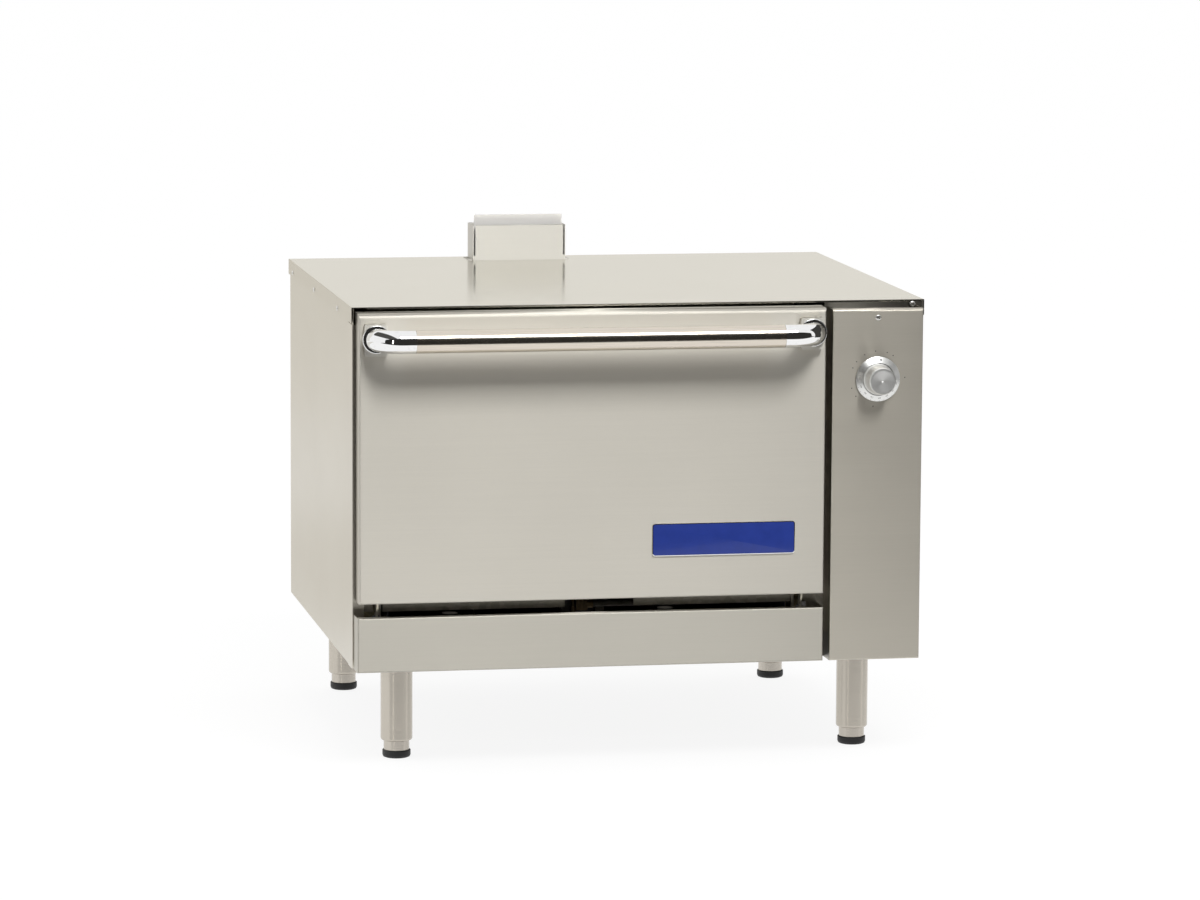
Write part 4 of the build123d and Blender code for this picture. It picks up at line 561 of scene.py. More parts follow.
@dataclass(frozen=True)
class VitreousEnamel(Finish):
    """Smooth coloured enamel field on a plate, with a slight orange skin."""

    colour: Colour = (0.020, 0.052, 0.36)

    def write(self, graph: Graph) -> None:
        """Wide noise varies the depth of the colour, and fine noise the skin.

        Args:
            graph: the material's graph.
        """
        depth = graph.noise(45, 4, 0.6)
        skin = graph.noise(420, 2, 0.5)
        colour = graph.blend(depth, shade(self.colour, 0.85), shade(self.colour, 1.25))
        graph.surface(colour, 0.32 + (depth - 0.5) * 0.1, (skin, 0.05, 0.0002), coat_weight=0.15)


class Finishes:
    """The finishes of the oven, each made when it is first asked for."""

    side_tone = (0.632, 0.595, 0.514)
    # The top sheet's turned-down sides take the side sheet's darker tone as painted shade.
    top = BrushedSteel("top_sheet", (0.700, 0.680, 0.610), 0.16, Axis.X, 0.02, 0.01, 0.0, side_tone)
    side = BrushedSteel("side_sheet", side_tone, 0.34, Axis.Y, 0.03, 0.03, 0.4)
    door = BrushedSteel("door_sheet", (0.675, 0.645, 0.575), 0.42, Axis.X, 0.03, 0.03, 1.0)
    kick = BrushedSteel("kick_sheet", (0.590, 0.565, 0.500), 0.42, Axis.X, 0.03, 0.03, 1.0)
    control = BrushedSteel("control_sheet", (0.600, 0.565, 0.490), 0.33, Axis.X, 0.03, 0.03, 1.0)
    flue = BrushedSteel("flue_sheet", (0.620, 0.605, 0.565), 0.42, Axis.X, 0.02, 0.02, 1.0)
    baffle = BrushedSteel("baffle_sheet", (0.760, 0.745, 0.720), 0.42, Axis.X, 0.02, 0.02, 1.0)
    block = BrushedSteel("block_steel", (0.740, 0.715, 0.650), 0.42, Axis.X, 0.02, 0.02, 1.0)
    handle = PolishedSteel("handle_tube", (0.70, 0.64, 0.56), 0.17, Axis.X, 0.04)
    leg = PolishedSteel("leg_tube", (0.56, 0.52, 0.455), 0.25, Axis.X, 0.04, 0.9)
    stem = PolishedSteel("leg_stem", (0.57, 0.53, 0.47), 0.25, Axis.X, 0.05, 0.9)
    chrome = ChromePlate("chrome_plate")
    screw = ChromePlate("bright_screw", (0.80, 0.79, 0.76), 0.30)
    plain = PlainSheet("plain_sheet")
    sooty = PlainSheet("sooty_sheet", (0.115, 0.107, 0.092), 0.52)
    # The front frame's sheet is darkened to stand in for the shadow it lies in: painted shade.
    shaded_frame = PlainSheet("frame_painted_shade", (0.25, 0.235, 0.20), 0.38)
    hinge = PlainSheet("zinc_plate", (0.52, 0.50, 0.44), 0.34, 420.0)
    frame = DarkPaint("frame_paint")
    pipe = DarkPaint("black_pipe", (0.028, 0.028, 0.028), (0.09, 0.085, 0.08), 0.42)
    spring = DarkPaint("spring_wire", (0.10, 0.10, 0.10), (0.30, 0.29, 0.28), 0.34)
    mark = Moulded("mark_ink", (0.016, 0.016, 0.016), (0.05, 0.05, 0.05), 0.5)
    foot = Moulded("foot_rubber")
    button = Moulded("button_plastic", (0.42, 0.03, 0.02), (0.30, 0.10, 0.08), 0.38)
    enamel = OvenEnamel("oven_enamel")
    iron = CastIron("burner_iron")
    brass = Brass("brass_fitting")
    tarnished = Brass("tarnished_brass", (0.20, 0.15, 0.09))
    gas_tube = PolishedSteel("gas_tube", (0.66, 0.66, 0.66), 0.30, Axis.Z, 0.1)
    wool = MineralWool("mineral_wool")
    braid = Braid("seal_braid")
    blue = VitreousEnamel("plate_enamel")


# Shapes


def added(name: str, data: bpy.types.ID) -> bpy.types.Object:
    """New object in the scene, at the origin.

    Args:
        name: the object's name.
        data: its mesh, curve, light or camera.

    Returns:
        The object.
    """
    made = bpy.data.objects.new(name, data)
    bpy.context.scene.collection.objects.link(made)
    return made


def turns(steps: int) -> np.ndarray:
    """Angles of equal steps round a circle, in radians."""
    return np.linspace(0, 2 * np.pi, steps, endpoint=False)


def points(x: np.ndarray, y: np.ndarray, z: np.ndarray) -> np.ndarray:
    """Points from three arrays or numbers, each repeated to their common shape."""
    return np.stack(np.broadcast_arrays(x, y, z), -1)


class Shape:
    """Vertices and faces of one piece, gathered from surfaces worked out on grids."""

    def __init__(self) -> None:
        """Start with nothing."""
        self.points: list[np.ndarray] = []
        self.faces: list[tuple[int, ...]] = []
        self.count = 0

    def grid(self, place: np.ndarray, along: bool = False) -> "Shape":
        """Add a surface whose row i, column j vertex joins its neighbours in both directions.

        Args:
            place: array of rows by columns by 3, in metres; the last column joins the first.
            along: the last row joins the first. Otherwise one face closes each of the two.

        Returns:
            This shape.
        """
        rows, columns = place.shape[:2]
        row = np.arange(rows if along else rows - 1)[:, None]
        column = np.arange(columns)[None, :]
        below, beside = (row + 1) % rows, (column + 1) % columns
        corners = ((row, column), (below, column), (below, beside), (row, beside))
        quads = np.stack([i * columns + j for i, j in corners], -1).reshape(-1, 4) + self.count
        self.faces += [tuple(q) for q in quads.tolist()]
        if not along:
            ends = np.arange(columns) + self.count
            self.faces += [tuple(ends.tolist()), tuple((ends[::-1] + (rows - 1) * columns).tolist())]
        self.points.append(place.reshape(-1, 3))
        self.count += rows * columns
        return self

    def piece(self, name: str, finish: Finish, smooth: float = 35.0) -> bpy.types.Object:
        """Make the object, with doubles merged and faces turned outwards.

        Args:
            name: the piece's name.
            finish: what it is made of.
            smooth: faces that meet at less than this angle are shaded smooth, in degrees.

        Returns:
            The new object.
        """
        mesh = bpy.data.meshes.new(name)
        mesh.from_pydata(np.concatenate(self.points).tolist(), [], self.faces)
        built = bmesh.new()
        built.from_mesh(mesh)
        bmesh.ops.remove_doubles(built, verts=built.verts, dist=1e-7)
        bmesh.ops.recalc_face_normals(built, faces=built.faces)
        built.to_mesh(mesh)
        built.free()
        mesh.shade_smooth()
        mesh.set_sharp_from_angle(angle=math.radians(smooth))
        mesh.materials.append(finish.material())
        return added(name, mesh)


def tube(path: np.ndarray, radius: float, sides: int, reference: Point) -> np.ndarray:
    """Round tube: path point plus radius times (cosine of the turn along one normal, sine along the other).

    Args:
        path: points along the middle, in metres.
        radius: the tube's radius.
        sides: how many points go round.
        reference: a direction that the path never runs along.

    Returns:
        Grid of path points by sides by 3.
    """
    tangent = np.gradient(path, axis=0)
    tangent /= np.linalg.norm(tangent, axis=1, keepdims=True)
    first = np.cross(tangent, reference)
    first /= np.linalg.norm(first, axis=1, keepdims=True)
    second = np.cross(first, tangent)
    turn = turns(sides)[None, :, None]
    return path[:, None] + radius * (np.cos(turn) * first[:, None] + np.sin(turn) * second[:, None])


def rounded_outline(width: float, height: float, radius: float, steps: int = 10) -> np.ndarray:
    """Rounded rectangle: corner's middle + r * (cosine, sine of the turn).

    The middle's signs are those of the quarter that the turn is in.

    Args:
        width: overall width, in metres.
        height: overall height.
        radius: corner radius.
        steps: points on each corner.

    Returns:
        Array of points by 4: the corner's middle (u, v) and the unit direction (u, v).
    """
    quarter = np.repeat(np.arange(4), steps)
    turn = (quarter + np.tile(np.linspace(0, 1, steps), 4)) * np.pi / 2
    u = np.array([1, -1, -1, 1])[quarter] * (width / 2 - radius)
    v = np.array([1, 1, -1, -1])[quarter] * (height / 2 - radius)
    return np.stack([u, v, np.cos(turn), np.sin(turn)], 1)


def circle(radius: float, steps: int) -> np.ndarray:
    """Points round a circle: radius times (cosine, sine of the turn), as an array of steps by 2."""
    return radius * np.stack([np.cos(turns(steps)), np.sin(turns(steps))], 1)


def dressed(finish: Finish, *nodes: str) -> None:
    """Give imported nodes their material.

    Args:
        finish: what they are made of.
        nodes: names of the nodes.
    """
    for name in nodes:
        node = bpy.data.objects[name]
        if not node.material_slots:
            node.data.materials.append(finish.material())
        for slot in node.material_slots:
            slot.material = finish.material()
        LOG.info("%s: %s", name, finish.name)


@dataclass(frozen=True)
class Box:
    """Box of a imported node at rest."""

    low: Vector
    high: Vector

    @classmethod
    def of(cls, node: str) -> "Box":
        """Box of the named node."""
        return cls(*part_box(node))

    @property
    def middle(self) -> Vector:
        """Middle of the box."""
        return (self.low + self.high) / 2


@dataclass(frozen=True)
class DomedScrew:
    """Domed screw head with a cross recess; the cross's sizes are shares of the radius."""

    radius: float = 4.6 * MM
    height: float = 2.2 * MM
    fall: float = 0.55
    depth: float = 0.75
    arm: float = 0.13
    reach: float = 0.56
    soft: float = 0.07
    rings: int = 22
    sides: int = 48

    def inside(self, value: np.ndarray, limit: float) -> np.ndarray:
        """1 well within the limit and 0 beyond it, with a short ramp."""
        return np.clip((limit - np.abs(value)) / self.soft + 0.5, 0, 1)

    def heads(self, centres: np.ndarray, outward: np.ndarray, name: str) -> bpy.types.Object:
        """Heads over discs: height is that of a flat dome, height * (1 - fall * r^4), less a recess.

        The recess lies where the point is in either arm of a cross, and the rim drops straight to the seat.

        Args:
            centres: seat of each head, in metres.
            outward: unit direction of each head.
            name: the piece's name.

        Returns:
            The heads as one piece.
        """
        share = np.concatenate([np.linspace(0.02, 1, self.rings), [1.0]])[:, None]
        turn = turns(self.sides)[None, :]
        u, v = share * np.cos(turn), share * np.sin(turn)
        cross = np.maximum(self.inside(u, self.arm) * self.inside(v, self.reach),
                           self.inside(v, self.arm) * self.inside(u, self.reach))
        rise = self.height * (1 - self.fall * share**4) - self.depth * self.height * cross
        rise[-1] = 0
        shape = Shape()
        for centre, axis in zip(centres, outward):
            side = np.cross(axis, [0, 0, 1.0])
            up = np.cross(side, axis)
            disc = self.radius * (u[..., None] * side + v[..., None] * up) + rise[..., None] * axis
            shape.grid(centre + disc)
        return shape.piece(name, Finishes.screw)


def softened(node: str, name: str, finish: Finish, voxel: float, inset: float,
             lump: float) -> bpy.types.Object:
    """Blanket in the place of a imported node: its solid remeshed, then drawn in unevenly.

    Each vertex moves inwards by inset + lump times a sum of three sines of its place.

    Args:
        node: the node that the blanket stands for.
        name: the piece's name.
        finish: what it is made of.
        voxel: size of the new faces, in metres.
        inset: least distance inside the solid.
        lump: how much further the hollows go.

    Returns:
        The blanket.
    """
    mesh = bpy.data.objects[node].data.copy()
    merged = bmesh.new()
    merged.from_mesh(mesh)
    bmesh.ops.remove_doubles(merged, verts=merged.verts, dist=1e-6)
    merged.to_mesh(mesh)
    merged.free()
    source = added(name, mesh)
    remesh = source.modifiers.new("voxels", "REMESH")
    remesh.mode = "VOXEL"
    remesh.voxel_size = voxel
    bpy.context.view_layer.update()
    final = bpy.data.meshes.new_from_object(source.evaluated_get(bpy.context.evaluated_depsgraph_get()))
    source.modifiers.clear()
    source.data = final
    count = len(final.vertices)
    place, normal = np.zeros(count * 3), np.zeros(count * 3)
    final.vertices.foreach_get("co", place)
    final.vertex_normals.foreach_get("vector", normal)
    place, normal = place.reshape(-1, 3), normal.reshape(-1, 3)
    waves = sum(np.sin(place @ wave + lead)
                for wave, lead in (([61, 47, 83], 0.0), ([-97, 71, 53], 1.3), ([139, -113, 101], 2.1)))
    place -= normal * (inset + lump * (waves / 6 + 0.5))[:, None]
    final.vertices.foreach_set("co", place.ravel())
    final.update()
    final.shade_smooth()
    final.materials.clear()
    final.materials.append(finish.material())
    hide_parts(node)
    return source


# Sub-assemblies


@dataclass
class CasingShell:
    """Outer sheets, base frame and screws of the casing."""

    screw: DomedScrew = DomedScrew()
    screw_shares: tuple[float, ...] = (0.205, 0.57, 0.925)

    def build(self) -> None:
        """Dress the sheets and make the screw heads."""
        dressed(Finishes.top, "top_panel")
        dressed(Finishes.side, "left_side_panel", "right_side_panel")
        dressed(Finishes.kick, "kick_panel")
        dressed(Finishes.plain, "back_panel")
        dressed(Finishes.sooty, "control_partition")
        # The front frame gets a darkened sheet: painted shade.
        dressed(Finishes.shaded_frame, "front_frame")
        dressed(Finishes.frame, "base_frame")
        self.side_screws()

    def side_screws(self) -> None:
        """Screw heads on the top panel's side flanges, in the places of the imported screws."""
        sheet, screws = Box.of("top_panel"), Box.of("top_panel_screws")
        rows = sheet.low.y + np.array(self.screw_shares) * (sheet.high.y - sheet.low.y)
        centres = np.array([(x, y, screws.middle.z) for x in (sheet.low.x, sheet.high.x) for y in rows])
        outward = np.array([(side, 0.0, 0.0) for side in (-1.0, 1.0) for _ in rows])
        piece = self.screw.heads(centres, outward, "side_screw_heads")
        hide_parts("top_panel_screws")
        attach(piece, "casing")


@dataclass
class Flue:
    """Open riser at the back of the top."""

    def build(self) -> None:
        """Dress the riser and its two plates."""
        dressed(Finishes.flue, "flue_riser", "flue_front_plate")
        dressed(Finishes.baffle, "flue_baffle")


@dataclass
class OvenBox:
    """Oven cavity with its deck, rack and insulation."""

    voxel: float = 9 * MM
    inset: float = 0.6 * MM
    lump: float = 2.4 * MM

    def build(self) -> None:
        """Dress the cavity and put the mineral wool round it."""
        dressed(Finishes.enamel, "oven_liner", "rack_guides")
        dressed(Finishes.sooty, "oven_deck", "burner_box_floor", "burner_baffle")
        dressed(Finishes.chrome, "oven_rack")
        dressed(Finishes.brass, "thermostat_bulb")
        dressed(Finishes.wool, "oven_insulation")
        wool = softened("oven_insulation", "oven_blankets", Finishes.wool, self.voxel, self.inset, self.lump)
        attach(wool, "casing")


@dataclass
class GasLine:
    """Burner, pilot, valve and pipes."""

    thread_length: float = 12 * MM
    thread_pitch: float = 1.81 * MM
    thread_depth: float = 0.55 * MM
    thread_root: float = 0.04 * MM
    thread_bore: float = 0.2 * MM
    thread_back: float = 0.3 * MM
    thread_rows: int = 97
    pipe_r: float = 13.33 * MM
    nut_half: float = 19 * MM
    inlet_r: float = 14 * MM
    inlets: int = 5
    inlet_share: float = 0.28
    liner_sheet: float = 1.2 * MM
    collar_wall: float = 1 * MM
    collar_depth: float = 5 * MM
    collar_lap: float = 0.8 * MM

    def build(self) -> None:
        """Dress the gas parts, cut the thread on the pipe's end and line the air inlets."""
        dressed(Finishes.iron, "burner")
        dressed(Finishes.sooty, "air_shutter", "pilot_burner", "burner_supply_tube")
        dressed(Finishes.tarnished, "orifice_fitting", "thermocouple")
        dressed(Finishes.gas_tube, "valve_feed_tube", "thermostat_body", "safety_valve")
        dressed(Finishes.button, "safety_valve_button")
        dressed(Finishes.pipe, "gas_inlet_pipe")
        self.thread()
        self.collars()

    def collars(self) -> None:
        """Drawn collars under the floor pan's air inlets: each a rectangle turned about the inlet's axis.

        Two lines of inlets run from front to back, at equal distances from the pan's middle.
        """
        pan = Box.of("burner_box_floor")
        rows = pan.low.y + (pan.high.y - pan.low.y) * np.arange(1, self.inlets + 1) / (self.inlets + 1)
        reach = (pan.high.x - pan.low.x - 2 * self.liner_sheet) * self.inlet_share
        wall = np.array([0, self.collar_wall, self.collar_wall, 0])[:, None]
        top, bottom = self.collar_lap, -self.collar_depth
        z = pan.low.z + np.array([top, top, bottom, bottom])[:, None]
        r, turn = self.inlet_r - wall, turns(40)[None, :]
        shape = Shape()
        for x in (pan.middle.x - reach, pan.middle.x + reach):
            for y in rows:
                shape.grid(points(x + r * np.cos(turn), y + r * np.sin(turn), z), along=True)
        piece = shape.piece("air_inlet_collars", Finishes.sooty)
        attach(piece, "casing")

    def thread(self) -> None:
        """Thread over the pipe's end: radius = pipe's + depth times a triangle wave of y / pitch - turn."""
        pipe = Box.of("gas_inlet_pipe")
        x, z = pipe.middle.x, pipe.low.z + self.nut_half
        start, end = pipe.high.y - self.thread_length, pipe.high.y - self.thread_back
        y, turn = np.linspace(start, end, self.thread_rows)[:, None], turns(48)[None, :]
        pitch = self.thread_pitch
        phase = (y / pitch - turn / (2 * np.pi)) % 1
        fade = np.clip((y - y[0]) / (2 * pitch), 0, 1) * np.clip((y[-1] - y) / pitch, 0, 1)
        crest = self.pipe_r + self.thread_root + self.thread_depth * fade * (1 - np.abs(2 * phase - 1))
        outer, inner = (points(x + r * np.cos(turn), y, z + r * np.sin(turn))
                        for r in (crest, self.pipe_r - self.thread_bore))
        shape = Shape().grid(np.concatenate([outer, inner[::-1]]), along=True)
        piece = shape.piece("pipe_thread", Finishes.pipe)
        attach(piece, "casing")


@dataclass
class Door:
    """Drop-down door with its inner pan, seal and plate."""

    voxel: float = 8 * MM
    inset: float = 0.6 * MM
    lump: float = 2.0 * MM
    seal_width: float = 9 * MM
    seal_corner: float = 10 * MM
    seal_fill: float = 0.97
    seal_square: float = 0.7
    plate_width: float = 229 * MM
    plate_height: float = 52 * MM
    plate_rise: float = 2.2 * MM
    plate_rim: float = 1.8 * MM
    plate_corner: float = 5 * MM
    plate_from_right: float = 162.1 * MM
    plate_from_bottom: float = 91.5 * MM

    def build(self) -> None:
        """Dress the door, and make its seal, blanket and plate."""
        dressed(Finishes.door, "door_outer_shell")
        dressed(Finishes.enamel, "door_inner_panel")
        dressed(Finishes.wool, "door_insulation")
        dressed(Finishes.braid, "door_gasket")
        wool = softened("door_insulation", "door_blanket", Finishes.wool, self.voxel, self.inset, self.lump)
        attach(wool, "door")
        self.seal()
        self.plate()

    def seal(self) -> None:
        """Braided seal: a rounded rectangle carries a flattened round section.

        Each point is the middle line + across times a squared-off cosine + thickness times a squared-off
        sine.
        """
        box = Box.of("door_gasket")
        half = self.seal_width / 2
        width, height = box.high.x - box.low.x - 2 * half, box.high.z - box.low.z - 2 * half
        outline = rounded_outline(width, height, self.seal_corner)
        thickness = (box.high.y - box.low.y) / 2
        across, thick = (size * self.seal_fill * np.sign(wave) * np.abs(wave) ** self.seal_square
                         for size, wave in ((half, np.cos(turns(20))), (thickness, np.sin(turns(20)))))
        reach = self.seal_corner + across
        x = box.middle.x + outline[:, :1] + reach * outline[:, 2:3]
        z = box.middle.z + outline[:, 1:2] + reach * outline[:, 3:4]
        shape = Shape().grid(points(x, box.middle.y + thick, z), along=True)
        piece = shape.piece("door_seal", Finishes.braid, 60)
        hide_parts("door_gasket")
        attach(piece, "door")

    def plate(self) -> None:
        """Blank plate low on the door: a bright rim and an enamelled field inside it."""
        rise, rim = self.plate_rise, self.plate_rim
        edge = [(0, 0.02 * MM), (0, rise - 0.6 * MM), (0.25 * MM, rise - 0.15 * MM), (0.6 * MM, rise),
                (rim - 0.3 * MM, rise), (rim, rise - 0.5 * MM), (rim, 0.02 * MM)]
        field = [(rim - 0.05 * MM, 0.05 * MM), (rim - 0.05 * MM, rise - 0.5 * MM),
                 (rim + 0.5 * MM, rise - 0.3 * MM)]
        for profile, name, finish, slot in ((edge, "plate_rim", Finishes.chrome, "chrome"),
                                            (field, "plate_field", Finishes.blue, "enamel")):
            piece = Shape().grid(self.rings(profile), along=profile is edge).piece(name, finish)
            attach(piece, "door")

    def rings(self, profile: Sequence[tuple[float, float]]) -> np.ndarray:
        """Rings of the plate's rounded outline: corner's middle + (corner radius - inset) * direction.

        Args:
            profile: inset and rise of each ring, in metres.

        Returns:
            Grid of rings by points by 3.
        """
        door = Box.of("door_outer_shell")
        outline = rounded_outline(self.plate_width, self.plate_height, self.plate_corner)
        inset, rise = np.array(profile).T[..., None]
        reach = self.plate_corner - inset
        x = door.high.x - self.plate_from_right + outline[:, 0] + reach * outline[:, 2]
        z = door.low.z + self.plate_from_bottom + outline[:, 1] + reach * outline[:, 3]
        return points(x, door.low.y - rise, z)


@dataclass
class Handle:
    """Tubular handle with bright elbows."""

    def build(self) -> None:
        """Dress the bar, elbows, brackets and bolts."""
        dressed(Finishes.handle, "handle_bar")
        dressed(Finishes.chrome, "handle_elbows")
        dressed(Finishes.block, "handle_brackets")
        dressed(Finishes.screw, "handle_screws")


@dataclass
class Hinges:
    """Hinge plates, pins and balance springs."""

    coil_r: float = 9 * MM
    wire_r: float = 1.5 * MM
    hook_r: float = 7 * MM
    coil_pitch: float = 3.25 * MM
    neck: float = 3 * MM
    stud_r: float = 2.4 * MM
    stud_top: float = 16 * MM
    nut_r: float = 4.9 * MM
    nut_h: float = 4 * MM
    nut_rise: float = 0.7 * MM
    stem_lap: float = 0.5 * MM
    coil_steps: int = 28
    ring_steps: int = 60

    def build(self) -> None:
        """Dress the hinges and wind the springs."""
        dressed(Finishes.hinge, "hinge_horns", "hinge_levers")
        dressed(Finishes.screw, "hinge_pins")
        box = Box.of("door_springs")
        for name, x in (("left", box.low.x + self.coil_r), ("right", box.high.x - self.coil_r)):
            self.spring(name, x, box)

    def spring(self, name: str, x: float, box: Box) -> None:
        """One spring: a screwed stud, a close coil and a ring through the lever.

        The coil's middle line is (x + r cos(wind), y + r sin(wind), low + pitch * wind / one turn), with r
        drawn in over the first and last half turn, and the ring is a circle in the plane of x and z.

        Args:
            name: which side it is on.
            x: its middle line.
            box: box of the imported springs.
        """
        y, mean = box.middle.y, self.coil_r - self.wire_r
        ring_z = box.high.z - self.hook_r - self.wire_r
        low, high = box.low.z + self.stud_top + self.wire_r, ring_z - self.hook_r - self.neck
        coils = (high - low) / self.coil_pitch
        wind = np.linspace(0, 2 * np.pi * coils, int(coils * self.coil_steps))
        r = mean * np.sqrt(np.clip(np.minimum(wind, wind[-1] - wind) / np.pi, 0, 1))
        coil = points(x + r * np.cos(wind), y + r * np.sin(wind), low + (high - low) * wind / wind[-1])
        bend = np.linspace(-0.5 * np.pi, 1.42 * np.pi, self.ring_steps)
        ring = points(x + self.hook_r * np.cos(bend), y, ring_z + self.hook_r * np.sin(bend))
        nut_z = box.low.z + self.nut_rise
        shape = Shape()
        shape.grid(tube(coil, self.wire_r, 10, (0, 0, 1)))
        shape.grid(tube(ring, self.wire_r, 10, (0, 1, 0)))
        for bottom, top, rows, radius, sides in (
                (high - self.wire_r, ring_z - self.hook_r + self.stem_lap, 4, self.wire_r, 10),
                (box.low.z, low + self.wire_r, 4, self.stud_r, 16),
                (nut_z, nut_z + self.nut_h, 3, self.nut_r, 6)):
            shape.grid(tube(np.linspace((x, y, bottom), (x, y, top), rows), radius, sides, (0, 1, 0)))
        piece = shape.piece(f"{name}_spring", Finishes.spring)
        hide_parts("door_springs")
        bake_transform(piece)


@dataclass
class Controls:
    """Control panel with the thermostat's knob, its dial marks and the panel's dots.

    Angles are in degrees from +x. The dial is flat within flat_r, and falls by rise to an edge edge_t thick.
    """

    dot_ring: float = 44 * MM
    dot_r: float = 0.9 * MM
    dot_angles: tuple[float, ...] = (119, 141, 156, 199, 218, 261, 2, 56, 70, 95)
    pointer_r: float = 1.6 * MM
    figure_h: float = 3.0 * MM
    figures: tuple[str, ...] = ("150", "200", "250", "300", "350", "400", "450", "500")
    screw: DomedScrew = DomedScrew()
    screw_shank: float = 5 * MM
    lines: int = 16
    ink: float = 0.05 * MM
    ink_base: float = 0.01 * MM
    pointer_angle: float = 83
    first_line: float = -2
    line_step: float = 12
    line_inset: float = 2.0 * MM
    first_figure: float = -14
    figure_step: float = 24
    figure_drop: float = 0.8 * MM
    flat_r: float = 26 * MM
    edge_t: float = 1.4 * MM
    rise: float = 4.6 * MM

    def build(self) -> None:
        """Dress the controls and make the marks."""
        knob = Box.of("knob_dial")
        centre = tuple(knob.middle)
        dial = SpunMetal("dial_spun", (0.80, 0.80, 0.78), 0.30, centre)
        grip = SpunMetal("grip_spun", (0.88, 0.88, 0.86), 0.48, centre)
        dressed(Finishes.control, "control_panel")
        dressed(Finishes.sooty, "control_bracket")
        dressed(Finishes.screw, "thermostat_shaft")
        dressed(dial, "knob_dial")
        dressed(grip, "knob_grip")
        self.dots(centre)
        self.dial_marks(knob)
        self.panel_screws()

    def panel_screws(self) -> None:
        """Heads of the panel's screw and of the casing's corner screw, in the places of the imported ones."""
        screws, panel = Box.of("control_screws"), Box.of("control_panel")
        r = self.screw.radius
        seats = [(screws.low.x + r, panel.low.y, screws.low.z + r),
                 (screws.high.x - r, screws.high.y - self.screw_shank, screws.high.z - r)]
        piece = self.screw.heads(np.array(seats), np.array([(0.0, -1.0, 0.0)] * 2), "panel_screw_heads")
        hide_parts("control_screws")
        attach(piece, "casing")

    def dots(self, centre: Point) -> None:
        """Small ink dots on the panel: thin discs on a ring round the knob.

        Args:
            centre: the knob's middle.
        """
        face = Box.of("control_panel").low.y
        disc = circle(self.dot_r, 16)
        shape = Shape()
        for angle in np.radians(self.dot_angles):
            x = centre[0] + self.dot_ring * math.cos(angle) + disc[:, 0]
            z = centre[2] + self.dot_ring * math.sin(angle) + disc[:, 1]
            shape.grid(points(x, face - np.array([[self.ink_base], [self.ink]]), z))
        piece = shape.piece("panel_dots", Finishes.mark)
        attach(piece, "casing")

    def on_dial(self, points: np.ndarray, knob: Box, angle: float, radius: float) -> np.ndarray:
        """Lay (u, v, w) points on the dial: u runs round it, v outwards and w off its surface.

        The surface's rise over the dial's edge is proportional to how far the point is inside that edge.

        Args:
            points: array of points by 3, in metres.
            knob: box of the dial.
            angle: where u = 0 lies, in radians from +x.
            radius: where v = 0 lies.

        Returns:
            Array of points by 3.
        """
        r = radius + points[:, 1]
        turn = angle - points[:, 0] / radius
        edge = (knob.high.x - knob.low.x) / 2
        share = np.clip((edge - r) / (edge - self.flat_r), 0, 1)
        depth = knob.high.y - self.edge_t - self.rise * share - points[:, 2]
        return np.stack([knob.middle.x + r * np.cos(turn), depth, knob.middle.z + r * np.sin(turn)], 1)

    def dial_marks(self, knob: Box) -> None:
        """Pointer dot, scale lines and numbers of the dial, laid on its cone.

        Args:
            knob: box of the dial.
        """
        edge = (knob.high.x - knob.low.x) / 2
        radius = (self.flat_r + edge) / 2
        line = np.array([(-0.16, 0), (0.16, 0), (0.16, 1.2), (-0.16, 1.2)]) * MM
        marks = [(circle(self.pointer_r, 24), self.pointer_angle, radius)]
        marks += [(line, self.first_line - self.line_step * index, edge - self.line_inset)
                  for index in range(self.lines)]
        shape = Shape()
        for outline, angle, place in marks:
            rows = [np.column_stack([outline, np.full(len(outline), w)]) for w in (self.ink_base, self.ink)]
            shape.grid(np.stack([self.on_dial(row, knob, math.radians(angle), place) for row in rows]))
        piece = shape.piece("dial_marks", Finishes.mark)
        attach(piece, "knob")
        for index, text in enumerate(self.figures):
            angle = math.radians(self.first_figure - self.figure_step * index)
            self.figure(text, knob, angle, radius - self.figure_drop)

    def figure(self, text: str, knob: Box, angle: float, radius: float) -> None:
        """One number of the dial, made a mesh and laid on the cone.

        Args:
            text: the number.
            knob: box of the dial.
            angle: its place round the dial, in radians from +x.
            radius: its distance from the middle.
        """
        curve = bpy.data.curves.new(f"figure_{text}", "FONT")
        curve.body = text
        curve.size = self.figure_h
        curve.align_x, curve.align_y = "CENTER", "CENTER"
        curve.resolution_u = 3
        curve.extrude = self.ink / 2
        holder = added(f"figure_{text}_source", curve)
        bpy.context.view_layer.update()
        mesh = bpy.data.meshes.new_from_object(holder.evaluated_get(bpy.context.evaluated_depsgraph_get()))
        bpy.data.objects.remove(holder)
        flat = np.zeros(len(mesh.vertices) * 3)
        mesh.vertices.foreach_get("co", flat)
        laid = self.on_dial(flat.reshape(-1, 3) + (0, 0, self.ink / 2), knob, angle, radius)
        mesh.vertices.foreach_set("co", laid.ravel())
        mesh.update()
        mesh.materials.append(Finishes.mark.material())
        piece = added(f"figure_{text}", mesh)
        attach(piece, "knob")


@dataclass
class Legs:
    """Four polished legs with adjustable feet."""

    corners: tuple[str, ...] = ("front_left", "front_right", "rear_left", "rear_right")

    def build(self) -> None:
        """Dress the tubes, stems and pads."""
        dressed(Finishes.leg, "leg_tubes")
        dressed(Finishes.stem, *(f"{corner}_foot_stem" for corner in self.corners))
        dressed(Finishes.foot, *(f"{corner}_foot_pad" for corner in self.corners))


